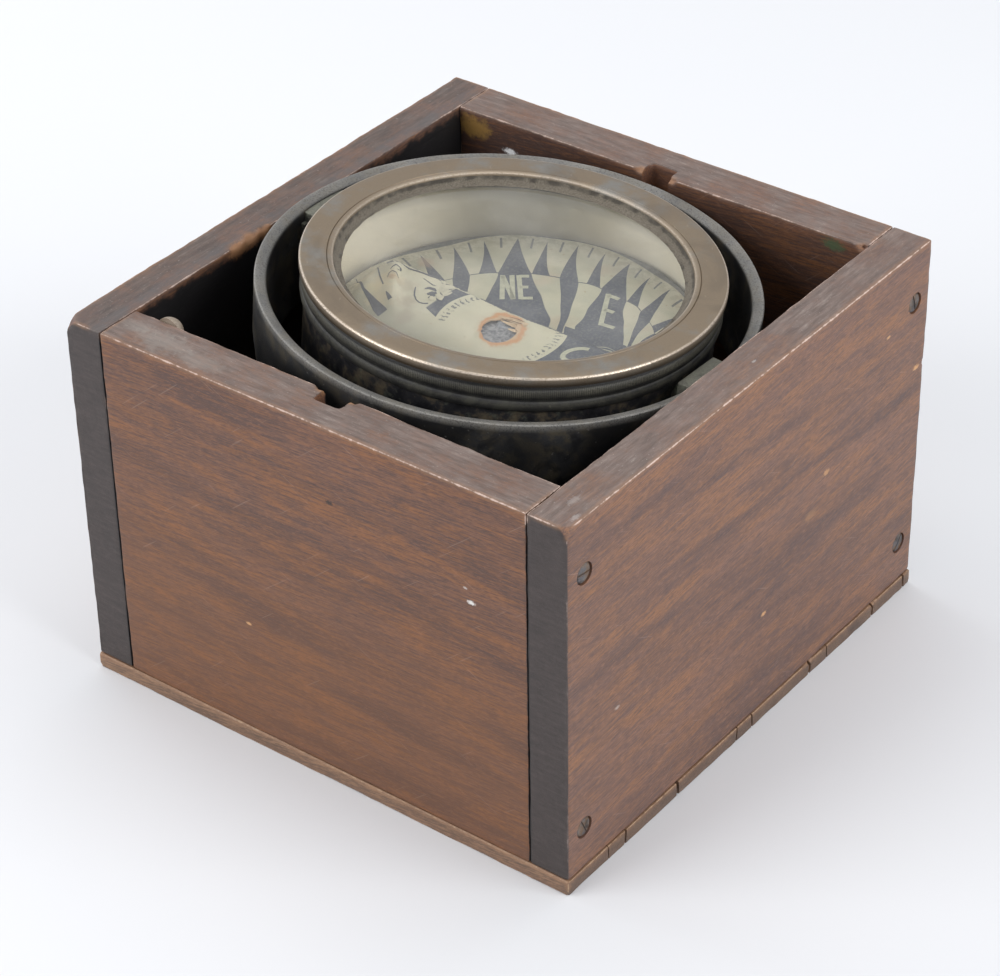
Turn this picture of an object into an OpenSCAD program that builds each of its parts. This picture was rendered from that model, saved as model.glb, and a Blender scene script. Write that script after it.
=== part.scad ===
// Box compass: a dry-card compass bowl hung in a gimbal ring inside an open wooden box.
// The origin is on the table under the middle of the box, +Z is up, -Y is the front board.
// Sizes run outward from the card: card, bowl, ring, then the box that lets the ring swing.

/* [Card] */
// Radius of the compass card
card_r = 57.4; // [50:0.2:62]
// Thickness of the stiff disc that carries the paper
disc_t = 0.4; // [0.3:0.05:0.8]
// Thickness of the paper
paper_t = 0.35; // [0.3:0.05:0.6]
// Height of the card below the point that carries it
card_drop = 1.5; // [1.2:0.1:2]
// Direction of the card's north, anticlockwise from +X
card_heading = 169; // [0:1:359]
// Height of the buckle in the paper beside the cap
buckle_h = 4; // [2:0.5:5]
// Extra height of the buckle towards north
buckle_rise = 4; // [0:0.5:5]
// Radius of the hole in the middle of the paper
paper_hole_r = 5; // [4.8:0.1:6]

/* [Cap and needles] */
// Radius of the cap where it passes through the card
cap_r = 4.4; // [4:0.1:4.6]
// Radius of the cap's flange under the card
cap_flange_r = 8; // [7:0.5:9]
// Length of the magnet needles
needle_l = 88; // [70:1:96]
// Width of each needle
needle_w = 6; // [5:0.5:8]
// Thickness of each needle
needle_t = 2.2; // [1.5:0.1:3]
// Distance from the card's middle to each needle
needle_offset = 15; // [13:0.5:20]

/* [Bowl] */
// Clearance between the card's edge and the bowl
card_gap = 2; // [1.8:0.1:4]
// Thickness of the bowl's wall
bowl_wall = 1.8; // [1.2:0.1:2.2]
// Depth of the bowl below its pivots
bowl_depth = 58; // [54:0.5:59]
// Radius of the bend between the bowl's wall and its floor
bowl_bend_r = 40; // [39:0.5:44]
// Height of the bezel's top above the bowl's pivots
bezel_top = 18.5; // [17.5:0.5:21]
// Thickness of the bezel
bezel_t = 3.3; // [2.5:0.1:4]
// How far the bezel stands out past the bowl's wall
bezel_lip = 2; // [1.5:0.1:2.4]
// Width of the bezel's flat, from its outer edge to the window
bezel_w = 10.1; // [8:0.1:14]
// Thickness of the cover glass
glass_t = 2.2; // [1.6:0.1:3]
// Width of the putty fillet on the glass
putty_w = 2.6; // [1.5:0.1:4]
// Thickness of the turned bands round the bowl's mouth
band_t = 1.4; // [1:0.1:1.6]
// Depth of the point that carries the card below the bowl's pivots
tip_drop = 4.9; // [4:0.1:6]
// Radius of the post that carries the point
post_r = 3; // [2.5:0.1:3.6]
// Thickness of the weight on the bowl's floor
weight_t = 9; // [6:0.5:14]
// Radius of the weight
weight_r = 19; // [15:0.5:19]

/* [Gimbal ring] */
// Clearance between the bowl's wall and the ring
ring_gap = 10.2; // [10:0.1:12]
// Thickness of the ring
ring_t = 3.8; // [3:0.1:5]
// Height of the ring above its pivots
ring_above = 12; // [10.5:0.5:13]
// Depth of the ring below its pivots
ring_below = 20; // [15:0.5:24]
// Width of the blocks that carry the bowl's pivots
block_w = 18; // [16:0.5:24]
// Thickness of those blocks
block_t = 5; // [4.4:0.1:5.4]
// Radius of the bowl's pivots
pivot_r = 2.5; // [2:0.1:3]
// Radius of the ring's trunnions
trunnion_r = 4.92; // [4.4:0.02:5.2]
// Lean of the ring at rest, right side down
ring_heel = 4; // [0:0.5:5]
// Lean of the bowl in the ring at rest, back side down
bowl_pitch = -3.3; // [-5:0.1:5]
// End float of the ring towards the back
ring_float = 0.6; // [-0.6:0.1:0.6]
// End float of the bowl towards the right
bowl_float = 0.9; // [-0.9:0.1:0.9]

/* [Box] */
// Height of the box, base board included
box_h = 127.2; // [120:0.2:150]
// Thickness of the left and right boards
side_t = 13.5; // [10:0.1:18]
// Thickness of the front and back boards
end_t = 15.8; // [13:0.1:20]
// Thickness of the base board
base_t = 5.2; // [4:0.1:8]
// How far the base board stands out past the walls
base_lip = 0.4; // [0:0.1:1.5]
// Clearance between the side boards and the swinging ring
swing_gap = 0.35; // [0.3:0.05:3]
// Clearance between the end boards and the ring
end_gap = 1.5; // [1:0.1:4]
// Depth of the trunnions' centre line below the top of the box
slot_drop = 12.8; // [12:0.2:16]
// Depth of the slots cut into the end boards
slot_cut = 5.8; // [5.6:0.1:8]
// Easing of the box's outer edges
edge_ease = 0.8; // [0.2:0.1:1.5]

/* [Screws and nails] */
// Radius of the side screws' heads
screw_head_r = 4; // [3:0.1:5]
// Radius of the side screws' shanks
screw_r = 2.1; // [1.5:0.1:2.5]
// Length of the side screws
screw_l = 36; // [25:1:45]
// Height of the lower side screws
screw_low_z = 20; // [16:0.5:30]
// Depth of the upper side screws below the top of the box
screw_top_drop = 18.5; // [14:0.5:25]
// Radius of the base nails' shanks
nail_r = 0.9; // [0.6:0.1:1.2]
// Length of the base nails
nail_l = 24; // [16:1:30]
// Radius of the round head of the stud inside the front board
stud_r = 4.3; // [3:0.1:5]

/* [Hidden] */
$fn = 96;

// Overlap of a cut past the face it opens
cut = 1;
// Radial clearance of a pin that turns in its hole
running_fit = 0.08;
// Radial clearance of a fastener in its own hole
snug_fit = 0.03;
// How far the side screws' heads lie under the wood's face
screw_sink = 0.2;
// How far the base nails' heads lie under the base's face
nail_sink = 0.2;
nail_head_r = nail_r + 1.2;

// Bowl, measured from its pivot line
bowl_in_r = card_r + card_gap;
bowl_r = bowl_in_r + bowl_wall;
bezel_r = bowl_r + bezel_lip;
bezel_z = bezel_top - bezel_t;
window_r = bezel_r - bezel_w;
glass_z = bezel_z - glass_t;
ledge_t = 1.5;
ledge_z = glass_z - ledge_t;
ledge_w = 2.8;
glass_rim_gap = 0.3;
glass_r = bowl_r - 2.6;
band_r = bowl_r + band_t;
floor_z = -bowl_depth;
floor_in_z = floor_z + bowl_wall;
// Threaded foot of the post under the bowl's floor
foot_l = 3.6;
// Hard steel point pressed into the post's top
point_r = 0.8;
point_grip = 4;
post_top_z = -tip_drop - 4.5;

// Card, measured from the tip of the point
disc_under = -card_drop - disc_t;
jewel_r = 1.5;
jewel_top = 1.2;
needle_rivet_r = 0.9;

// Gimbal ring, measured from its pivot line
ring_in_r = bowl_r + ring_gap;
ring_r = ring_in_r + ring_t;
swing_r = norm([ring_r, ring_above]);
ring_foot_r = sqrt(pow(swing_r, 2) - pow(ring_below, 2));
ring_taper_z = -6;
ring_ease = 0.8;
block_top_drop = 0.6;
block_face_x = ring_in_r - block_t;
// Neck of a trunnion where it passes through the ring, and its riveted head inside
trunnion_neck_r = 3;
head_t = 1.4;

// Box
in_w = swing_r + swing_gap;
in_d = ring_r + end_gap;
out_w = in_w + side_t;
out_d = in_d + end_t;
gimbal_z = box_h - slot_drop;
slot_r = trunnion_r + running_fit;
trunnion_end = in_d + slot_cut - 1;

// Where the point that carries the card stands
function lean_x(p, a) = [p.x, p.y * cos(a) - p.z * sin(a), p.y * sin(a) + p.z * cos(a)];
function lean_y(p, a) = [p.x * cos(a) + p.z * sin(a), p.y, p.z * cos(a) - p.x * sin(a)];
tip_in_bowl = [bowl_float, 0, -tip_drop];
tip_at = [0, ring_float, gimbal_z] + lean_y(lean_x(tip_in_bowl, bowl_pitch), ring_heel);

// Points on an arc from angle a0 to a1
function arc(centre, r, a0, a1, steps) =
    [for (i = [0:steps]) let (a = a0 + (a1 - a0) * i / steps) centre + r * [cos(a), sin(a)]];

module in_ring() {
    translate([0, ring_float, gimbal_z]) rotate([0, ring_heel, 0]) children();
}

module in_bowl() {
    in_ring() rotate([bowl_pitch, 0, 0]) translate([bowl_float, 0, 0]) children();
}

// The card's own frame: the point's tip is the origin, +X is north and +Y is west
module on_tip() {
    translate(tip_at) rotate([0, 0, card_heading]) children();
}

module along_x(h) {
    rotate([0, 90, 0]) linear_extrude(h) children();
}

// Rectangle with its corners cut off
module eased_square(w, d, ease) {
    polygon([[-w + ease, -d], [w - ease, -d], [w, -d + ease], [w, d - ease],
             [w - ease, d], [-w + ease, d], [-w, d - ease], [-w, -d + ease]]);
}

// The walls' common outline, with eased corners and an eased top edge
module wall_outline() {
    rise = box_h - base_t;
    intersection() {
        translate([0, 0, base_t]) linear_extrude(rise) eased_square(out_w, out_d, edge_ease);
        translate([0, out_d, base_t]) rotate([90, 0, 0]) linear_extrude(2 * out_d)
            polygon([[-out_w, 0], [out_w, 0], [out_w, rise - edge_ease], [out_w - edge_ease, rise],
                     [-out_w + edge_ease, rise], [-out_w, rise - edge_ease]]);
        translate([-out_w, 0, base_t]) rotate([90, 0, 90]) linear_extrude(2 * out_w)
            polygon([[-out_d, 0], [out_d, 0], [out_d, rise - edge_ease], [out_d - edge_ease, rise],
                     [-out_d + edge_ease, rise], [-out_d, rise - edge_ease]]);
    }
}

// Flat-headed wood screw lying along -X from its head at the origin
module wood_screw(grow = 0, slot = true) {
    head_cone = screw_head_r - screw_r;
    slot_w = 0.9;
    slot_d = 1.1;
    tip_l = 6;
    difference() {
        translate([-screw_sink, 0, 0]) rotate([0, -90, 0]) rotate_extrude()
            polygon([[0, 0], [screw_head_r + grow, 0], [screw_r + grow, head_cone],
                     [screw_r + grow, screw_l - tip_l], [grow, screw_l + grow], [0, screw_l + grow]]);
        if (slot)
            translate([-screw_sink - slot_d, -screw_head_r - cut, -slot_w / 2])
                cube([slot_d + cut, 2 * (screw_head_r + cut), slot_w]);
    }
}

// The four screws of the right board; the left board's are their mirror image
module screw_places() {
    for (y = [-1, 1])
        for (z = [screw_low_z, box_h - screw_top_drop])
            translate([out_w, y * (in_d + end_t / 2), z]) children();
}

module screw_holes() {
    screw_places() {
        wood_screw(grow = snug_fit, slot = false);
        translate([-screw_sink - snug_fit, 0, 0])
            along_x(cut + screw_sink) circle(screw_head_r + snug_fit);
    }
}

// Nail driven upward from its head at the origin
module base_nail(grow = 0) {
    nail_head_t = 0.8;
    tip_l = 3;
    rotate_extrude()
        polygon([[0, 0], [nail_head_r + grow, 0], [nail_head_r + grow, nail_head_t + grow],
                 [nail_r + grow, nail_head_t + grow], [nail_r + grow, nail_l - tip_l],
                 [grow, nail_l + grow], [0, nail_l + grow]]);
}

module nail_places() {
    for (x = [-1, 1])
        for (k = [-1.5, -0.5, 0.5, 1.5])
            translate([x * (in_w + side_t / 2), k * in_d / 2, nail_sink]) children();
    for (y = [-1, 1])
        for (k = [-1, 0, 1])
            translate([k * in_w / 2, y * (in_d + end_t / 2), nail_sink]) children();
}

module nail_holes() {
    nail_places() {
        base_nail(grow = snug_fit);
        translate([0, 0, -nail_sink - cut])
            cylinder(r = nail_head_r + snug_fit, h = nail_sink + cut + snug_fit);
    }
}

module side_board() {
    difference() {
        intersection() {
            wall_outline();
            translate([in_w, -out_d, base_t]) cube([side_t, 2 * out_d, box_h]);
        }
        screw_holes();
        nail_holes();
    }
}

module right_board() {
    color("#8a6a5c") side_board();
}

module left_board() {
    color("#8a6a5c") mirror([1, 0, 0]) side_board();
}

// Board between the side boards at the back, with the open slot for a trunnion
module end_board() {
    difference() {
        intersection() {
            wall_outline();
            translate([-in_w, in_d, base_t]) cube([2 * in_w, end_t, box_h]);
        }
        translate([0, in_d + slot_cut, gimbal_z]) rotate([90, 0, 0]) cylinder(r = slot_r, h = slot_cut + cut);
        translate([-slot_r, in_d - cut, gimbal_z]) cube([2 * slot_r, slot_cut + cut, slot_drop + cut]);
        screw_holes();
        mirror([1, 0, 0]) screw_holes();
        nail_holes();
    }
}

module back_board() {
    color("#7a5244") end_board();
}

module front_board() {
    color("#7a5244") difference() {
        mirror([0, 1, 0]) end_board();
        front_stud_body(grow = snug_fit);
    }
}

module base_board() {
    color("#96694a") difference() {
        intersection() {
            linear_extrude(base_t) eased_square(out_w + base_lip, out_d + base_lip, edge_ease);
            translate([0, out_d + base_lip, 0]) rotate([90, 0, 0]) linear_extrude(2 * (out_d + base_lip))
                translate([0, base_t / 2]) eased_square(out_w + base_lip, base_t / 2, edge_ease);
            translate([-out_w - base_lip, 0, 0]) rotate([90, 0, 90]) linear_extrude(2 * (out_w + base_lip))
                translate([0, base_t / 2]) eased_square(out_d + base_lip, base_t / 2, edge_ease);
        }
        nail_holes();
    }
}

module right_screws() {
    color("#4c4744") screw_places() wood_screw();
}

module left_screws() {
    color("#4c4744") mirror([1, 0, 0]) screw_places() wood_screw();
}

module base_nails() {
    color("#4c4744") nail_places() base_nail();
}

// Round-headed nail in the inner face of the front board, near its left end
module front_stud_body(grow = 0) {
    stud_from_left = 12.6;
    stud_sink = 3;
    shank_r = 1.2;
    shank_l = 9;
    translate([-in_w + stud_from_left, -in_d, box_h - stud_sink]) rotate([90, 0, 0]) {
        cylinder(r = shank_r + grow, h = shank_l + grow);
        rotate([180, 0, 0]) rotate_extrude() intersection() {
            circle(stud_r);
            square([stud_r, stud_r]);
        }
    }
}

module front_stud() {
    color("#8d8c78") front_stud_body();
}

// The ring's wall: upright above the taper, drawn in below so that its foot clears the boards
module gimbal_ring() {
    inner_drop = 1.2;
    foot_in_r = ring_foot_r - ring_t + 0.2;
    ledge = -ring_taper_z;
    color("#55534d") in_ring() difference() {
        rotate_extrude($fn = 180)
            polygon([[foot_in_r + ring_ease, -ring_below], [ring_foot_r - ring_ease, -ring_below],
                     [ring_foot_r, -ring_below + ring_ease], [ring_r, -ledge],
                     [ring_r, ring_above - ring_ease], [ring_r - ring_ease, ring_above],
                     [ring_in_r + ring_ease, ring_above - inner_drop / 2],
                     [ring_in_r, ring_above - inner_drop], [ring_in_r, -ledge],
                     [foot_in_r, -ring_below + ring_ease]]);
        for (side = [0, 180])
            rotate([0, 0, side]) {
                translate([0, ring_r + cut, 0]) rotate([90, 0, 0])
                    cylinder(r = trunnion_neck_r + snug_fit, h = ring_t + 3 * cut);
                rivet_places() rivet_shape(grow = snug_fit);
            }
    }
}

// Trunnion of the ring's back: journal, neck and riveted head
module trunnion() {
    difference() {
        translate([0, trunnion_end, 0]) rotate([90, 0, 0])
            rotate_extrude()
                polygon([[0, 0], [trunnion_r - 0.5, 0], [trunnion_r, 0.5],
                         [trunnion_r, trunnion_end - ring_r + 2], [0, trunnion_end - ring_r + 2]]);
        cylinder(r = ring_r, h = 4 * trunnion_r, center = true, $fn = 180);
    }
    translate([0, ring_r + 0.5, 0]) rotate([90, 0, 0])
        cylinder(r = trunnion_neck_r, h = ring_t + 1);
    intersection() {
        translate([0, ring_in_r + cut, 0]) rotate([90, 0, 0])
            cylinder(r = trunnion_neck_r + 1.8, h = head_t + cut);
        cylinder(r = ring_in_r, h = 4 * trunnion_r, center = true, $fn = 180);
    }
}

module back_trunnion() {
    color("#8b7d5c") in_ring() trunnion();
}

module front_trunnion() {
    color("#8b7d5c") in_ring() rotate([0, 0, 180]) trunnion();
}

// Two rivets hold each pivot block to the ring's right side
module rivet_places() {
    for (y = [-1, 1])
        translate([0, y * (block_w / 2 - 2.8), 0]) children();
}

module rivet_shape(grow = 0) {
    rivet_r = 1.1;
    rivet_head_r = 1.9;
    translate([ring_in_r - 3, 0, 0]) along_x(ring_t + 2.6) circle(rivet_r + grow);
    translate([ring_r - 0.9, 0, 0]) along_x(0.7) circle(rivet_head_r + grow);
}

module block_rivets() {
    color("#8b7d5c") in_ring() for (side = [0, 180])
        rotate([0, 0, side]) rivet_places() rivet_shape();
}

// Block on the ring's right side, with a stepped front and the bowl pivot's bore
module pivot_block() {
    step_w = 2;
    step_h = 3;
    step_t = 2.2;
    block_z = ring_taper_z;
    top_z = ring_above - 1.2 - block_top_drop;
    difference() {
        intersection() {
            union() {
                translate([block_face_x, -block_w / 2, block_z])
                    cube([block_t + cut, block_w, top_z - block_z]);
                translate([ring_in_r - step_t, -block_w / 2 - step_w, block_z])
                    cube([step_t + cut, block_w + 2 * step_w, top_z - block_z - step_h]);
            }
            cylinder(r = ring_in_r, h = 4 * ring_above, center = true, $fn = 180);
        }
        translate([block_face_x - cut, 0, 0]) along_x(block_t + 2 * cut) circle(pivot_r + running_fit);
        rivet_places() rivet_shape(grow = snug_fit);
    }
}

module right_pivot_block() {
    color("#6f7263") in_ring() pivot_block();
}

module left_pivot_block() {
    color("#6f7263") in_ring() rotate([0, 0, 180]) pivot_block();
}

// Outline of the bowl's side and floor, drawn in by an offset from its outer face
function bowl_side(inset) =
    let (bend = bowl_bend_r - inset)
    concat([[0, floor_z + inset]], arc([bowl_r - bowl_bend_r, floor_z + bowl_bend_r], bend, -90, 0, 24));

module bowl_shell() {
    outer = bowl_side(0);
    inner = bowl_side(bowl_wall);
    back = [for (i = [len(inner) - 1:-1:0]) inner[i]];
    color("#6d6552") in_bowl() difference() {
        rotate_extrude($fn = 180)
            polygon(concat(outer, [[bowl_r, ledge_z], [bowl_in_r, ledge_z]], back));
        translate([0, 0, floor_z - cut]) cylinder(r = post_r + snug_fit, h = bowl_wall + 2 * cut);
        for (side = [0, 180])
            rotate([0, 0, side]) translate([bowl_in_r - cut, 0, 0])
                along_x(bowl_wall + 2 * cut) circle(pivot_r + snug_fit);
    }
}

// Turned band round the bowl's mouth: two beads outside, the glass's ledge inside
module rim_band() {
    skirt_z = ledge_z - 5.1;
    groove_d = 0.7;
    bead_h = (bezel_z - 0.8 - skirt_z) / 2;
    neck_r = band_r - groove_d;
    collar_r = glass_r + glass_rim_gap;
    color("#7c765f") in_bowl() rotate_extrude($fn = 180)
        polygon(concat(
            [[bowl_r, skirt_z]],
            arc([neck_r, skirt_z + bead_h / 2], groove_d, -80, 80, 8),
            arc([neck_r, skirt_z + 1.5 * bead_h], groove_d, -80, 80, 8),
            [[neck_r - 0.4, bezel_z - 0.5], [neck_r - 0.4, bezel_z], [collar_r, bezel_z],
             [collar_r, glass_z], [bowl_in_r - ledge_w, glass_z], [bowl_in_r - ledge_w, ledge_z],
             [bowl_r, ledge_z]]));
}

module bezel_ring() {
    bezel_ease = 0.5;
    color("#8c7a62") in_bowl() rotate_extrude($fn = 180)
        polygon([[window_r, bezel_z], [bezel_r - bezel_ease, bezel_z], [bezel_r, bezel_z + bezel_ease],
                 [bezel_r, bezel_top - bezel_ease], [bezel_r - bezel_ease, bezel_top],
                 [window_r + bezel_ease, bezel_top], [window_r, bezel_top - bezel_ease]]);
}

module glazing_putty() {
    putty_drop = 1;
    putty_h = bezel_t - putty_drop;
    color("#6a6352") in_bowl() rotate_extrude($fn = 180)
        polygon([[window_r, bezel_z], [window_r, bezel_z + putty_h],
                 [window_r - 0.5 * putty_w, bezel_z + 0.4 * putty_h], [window_r - putty_w, bezel_z]]);
}

module cover_glass() {
    color("#c9cdbd", 0.35) in_bowl() translate([0, 0, glass_z])
        cylinder(r = glass_r, h = glass_t, $fn = 180);
}

// Pin of the bowl's right side, with a collar against the bowl's wall
module bowl_pivot() {
    collar_r = pivot_r + 2.3;
    collar_end = bowl_r + 3.2;
    pin_end = ring_in_r - 1.6;
    translate([bowl_in_r, 0, 0]) along_x(pin_end - bowl_in_r) circle(pivot_r);
    difference() {
        translate([bowl_in_r, 0, 0]) along_x(collar_end - bowl_in_r) circle(collar_r);
        cylinder(r = bowl_r, h = 4 * collar_r, center = true, $fn = 180);
    }
}

module right_bowl_pivot() {
    color("#8b7d5c") in_bowl() bowl_pivot();
}

module left_bowl_pivot() {
    color("#8b7d5c") in_bowl() rotate([0, 0, 180]) bowl_pivot();
}

module ballast_weight() {
    weight_ease = 1;
    color("#5b5c60") in_bowl() difference() {
        translate([0, 0, floor_in_z]) rotate_extrude()
            polygon([[0, 0], [weight_r, 0], [weight_r, weight_t - weight_ease],
                     [weight_r - weight_ease, weight_t], [0, weight_t]]);
        translate([0, 0, floor_in_z - cut]) cylinder(r = post_r + snug_fit, h = weight_t + 2 * cut);
    }
}

// Post with a flange on the weight and a threaded foot through the bowl's floor
module pivot_post() {
    flange_w = 4;
    flange_r = post_r + flange_w;
    flange_t = 2;
    flange_z = floor_in_z + weight_t;
    neck_l = 10.5;
    neck_z = post_top_z - neck_l;
    neck_r = 1.6;
    foot_ease = 0.5;
    color("#9a8a5e") in_bowl() difference() {
        rotate_extrude()
            polygon([[0, floor_z - foot_l], [post_r - foot_ease, floor_z - foot_l],
                     [post_r, floor_z - foot_l + foot_ease],
                     [post_r, flange_z], [flange_r, flange_z], [flange_r, flange_z + flange_t],
                     [post_r, flange_z + flange_t], [post_r, neck_z], [neck_r, post_top_z], [0, post_top_z]]);
        translate([0, 0, post_top_z - point_grip]) cylinder(r = point_r + snug_fit, h = point_grip + cut);
    }
}

module pivot_point() {
    tip_flat = 0.06;
    color("#77797c") in_bowl() rotate_extrude()
        polygon([[0, post_top_z - point_grip], [point_r, post_top_z - point_grip], [point_r, -tip_drop - 2.6],
                 [tip_flat, -tip_drop], [0, -tip_drop]]);
}

module post_nut() {
    nut_t = 2.8;
    nut_r = 5.6;
    color("#9a8a5e") in_bowl() translate([0, 0, floor_z - nut_t]) difference() {
        cylinder(r = nut_r, h = nut_t, $fn = 6);
        translate([0, 0, -cut]) cylinder(r = post_r + snug_fit, h = nut_t + 2 * cut);
    }
}

module card_disc() {
    color("#b9b295") on_tip() translate([0, 0, disc_under]) difference() {
        cylinder(r = card_r, h = disc_t, $fn = 180);
        translate([0, 0, -cut]) cylinder(r = cap_r + snug_fit, h = disc_t + 2 * cut);
        needle_places() translate([0, 0, -cut]) cylinder(r = needle_rivet_r + snug_fit, h = disc_t + 2 * cut);
    }
}

// Height of the buckled paper over the disc: a fold along north-south that slopes down to the west
function blend(a, b, v) = let (s = min(1, max(0, (v - a) / (b - a)))) s * s * (3 - 2 * s);
function fold_w(n) = 0.16 * n - 0.06 * card_r;
function fold_h(n) = buckle_h + buckle_rise * blend(0.14 * card_r, 0.7 * card_r, n);
function fold_side(t) = t < 0 ? blend(-0.12 * card_r, 0, t) : 1 - blend(0.1 * card_r, 0.8 * card_r, t);
function paper_lift(r, a) =
    let (n = r * cos(a), w = r * sin(a))
    fold_h(n) * fold_side(w - fold_w(n)) * (1 - blend(0.83 * card_r, 0.97 * card_r, r));

module card_paper() {
    rings = 14;
    spokes = 60;
    lift = 0.02;
    function ring_r_at(i) = paper_hole_r + (card_r - paper_hole_r) * i / rings;
    function sheet(h) = [for (i = [0:rings]) for (k = [0:spokes - 1])
        let (r = ring_r_at(i), a = 360 * k / spokes)
        [r * cos(a), r * sin(a), paper_lift(r, a) + h]];
    count = (rings + 1) * spokes;
    function quad(i, k, base) = let (m = (k + 1) % spokes)
        [base + i * spokes + k, base + i * spokes + m,
         base + (i + 1) * spokes + m, base + (i + 1) * spokes + k];
    top = [for (i = [0:rings - 1]) for (k = [0:spokes - 1])
        let (q = quad(i, k, 0)) each [[q[0], q[1], q[2]], [q[0], q[2], q[3]]]];
    bottom = [for (i = [0:rings - 1]) for (k = [0:spokes - 1])
        let (q = quad(i, k, count)) each [[q[0], q[2], q[1]], [q[0], q[3], q[2]]]];
    rim = [for (k = [0:spokes - 1])
        let (m = (k + 1) % spokes, a = rings * spokes)
        each [[a + k, a + m, count + a + m], [a + k, count + a + m, count + a + k]]];
    hole = [for (k = [0:spokes - 1])
        let (m = (k + 1) % spokes)
        each [[k, count + m, m], [k, count + k, count + m]]];
    color("#c4bf9e") on_tip() translate([0, 0, -card_drop + lift])
        polyhedron(concat(sheet(paper_t), sheet(0)), concat(top, bottom, rim, hole));
}

// Cap that rides on the point: flange under the disc, boss through it, jewel inside
module card_cap() {
    flange_t = 0.9;
    mouth_r = 3;
    color("#6f6a58") on_tip() difference() {
        rotate_extrude()
            polygon([[0, disc_under - flange_t], [cap_flange_r, disc_under - flange_t],
                     [cap_flange_r, disc_under],
                     [cap_r, disc_under], [cap_r, 1], [cap_r - 1.4, 2.4], [0, 2.4]]);
        rotate_extrude()
            polygon([[0, disc_under - flange_t - cut], [mouth_r, disc_under - flange_t - cut],
                     [mouth_r, disc_under - flange_t], [jewel_r + snug_fit, -0.6],
                     [jewel_r + snug_fit, jewel_top + snug_fit], [0, jewel_top + snug_fit]]);
    }
}

module cap_jewel() {
    seat_gap = 0.06;
    color("#7d2f35") on_tip() rotate_extrude()
        polygon([[1.1, -0.6], [jewel_r, -0.6], [jewel_r, jewel_top], [0, jewel_top], [0, seat_gap]]);
}

// Two flat needles along north-south, riveted under the disc
module needle_places() {
    for (n = [-1, 1])
        for (w = [-1, 1])
            translate([n * (needle_l / 2 - 8), w * needle_offset, 0]) children();
}

module magnet_needles() {
    point_l = 5;
    color("#4a4d55") on_tip() difference() {
        for (w = [-1, 1])
            translate([0, w * needle_offset, disc_under - needle_t]) linear_extrude(needle_t)
                polygon([[needle_l / 2, 0], [needle_l / 2 - point_l, needle_w / 2],
                         [-needle_l / 2 + point_l, needle_w / 2], [-needle_l / 2, 0],
                         [-needle_l / 2 + point_l, -needle_w / 2], [needle_l / 2 - point_l, -needle_w / 2]]);
        needle_places() translate([0, 0, disc_under - needle_t - cut])
            cylinder(r = needle_rivet_r + snug_fit, h = needle_t + 2 * cut);
    }
}

module needle_rivets() {
    grip = disc_t + needle_t;
    rivet_head_t = 0.7;
    color("#9a8a5e") on_tip() needle_places() translate([0, 0, disc_under - needle_t]) {
        cylinder(r = needle_rivet_r, h = grip - 0.02);
        translate([0, 0, -rivet_head_t]) cylinder(r = needle_rivet_r + 0.8, h = rivet_head_t);
    }
}

left_board();
right_board();
front_board();
back_board();
base_board();
left_screws();
right_screws();
base_nails();
front_stud();
gimbal_ring();
front_trunnion();
back_trunnion();
left_pivot_block();
right_pivot_block();
block_rivets();
bowl_shell();
rim_band();
bezel_ring();
glazing_putty();
cover_glass();
left_bowl_pivot();
right_bowl_pivot();
ballast_weight();
pivot_post();
pivot_point();
post_nut();
card_disc();
card_paper();
card_cap();
cap_jewel();
magnet_needles();
needle_rivets();
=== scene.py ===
"""Looks of the box compass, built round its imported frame, in metres and in the frame's own axes."""
from __future__ import annotations

import functools
import itertools
import logging
import math
from dataclasses import dataclass, field
from enum import Enum
from typing import Callable, Iterable, Sequence

import bpy
import numpy as np
from mathutils import Matrix, Vector

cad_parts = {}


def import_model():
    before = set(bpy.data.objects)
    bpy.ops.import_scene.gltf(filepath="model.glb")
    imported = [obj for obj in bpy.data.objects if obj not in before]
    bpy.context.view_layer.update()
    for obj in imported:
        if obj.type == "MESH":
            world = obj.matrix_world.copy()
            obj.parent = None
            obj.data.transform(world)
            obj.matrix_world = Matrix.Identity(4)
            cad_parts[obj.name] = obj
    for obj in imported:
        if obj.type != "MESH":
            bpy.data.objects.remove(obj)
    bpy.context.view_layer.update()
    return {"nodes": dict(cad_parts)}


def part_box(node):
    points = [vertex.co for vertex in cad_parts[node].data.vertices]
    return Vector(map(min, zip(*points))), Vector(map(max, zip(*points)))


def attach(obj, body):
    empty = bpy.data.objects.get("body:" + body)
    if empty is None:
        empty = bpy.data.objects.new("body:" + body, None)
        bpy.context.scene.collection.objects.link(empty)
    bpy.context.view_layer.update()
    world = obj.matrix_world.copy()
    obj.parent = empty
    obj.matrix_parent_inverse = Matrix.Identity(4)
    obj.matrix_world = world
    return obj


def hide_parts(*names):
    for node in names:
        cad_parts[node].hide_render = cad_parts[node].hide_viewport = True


LOG = logging.getLogger("box_compass")
MM = 0.001
ROD_SIDES = 48
Colour = tuple[float, float, float]
Point = tuple[float, float]
Ball = tuple[float, float, float, float]
Stroke = tuple[Sequence[Point], Sequence[float]]
Number = float | np.ndarray
Socket = bpy.types.NodeSocket


# ---- Working by hand ---------------------------------------------------------------------------


def let_go() -> None:
    """Leave edit mode with nothing selected."""
    if bpy.context.mode != "OBJECT":
        bpy.ops.object.mode_set(mode="OBJECT")
    bpy.ops.object.select_all(action="DESELECT")


def take(piece: bpy.types.Object) -> None:
    """Select one piece alone and make it active."""
    let_go()
    piece.select_set(True)
    bpy.context.view_layer.objects.active = piece


def named(name: str) -> bpy.types.Object:
    """Name the piece that was just made, and its mesh."""
    piece = bpy.context.object
    piece.name = piece.data.name = name
    return piece


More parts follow.
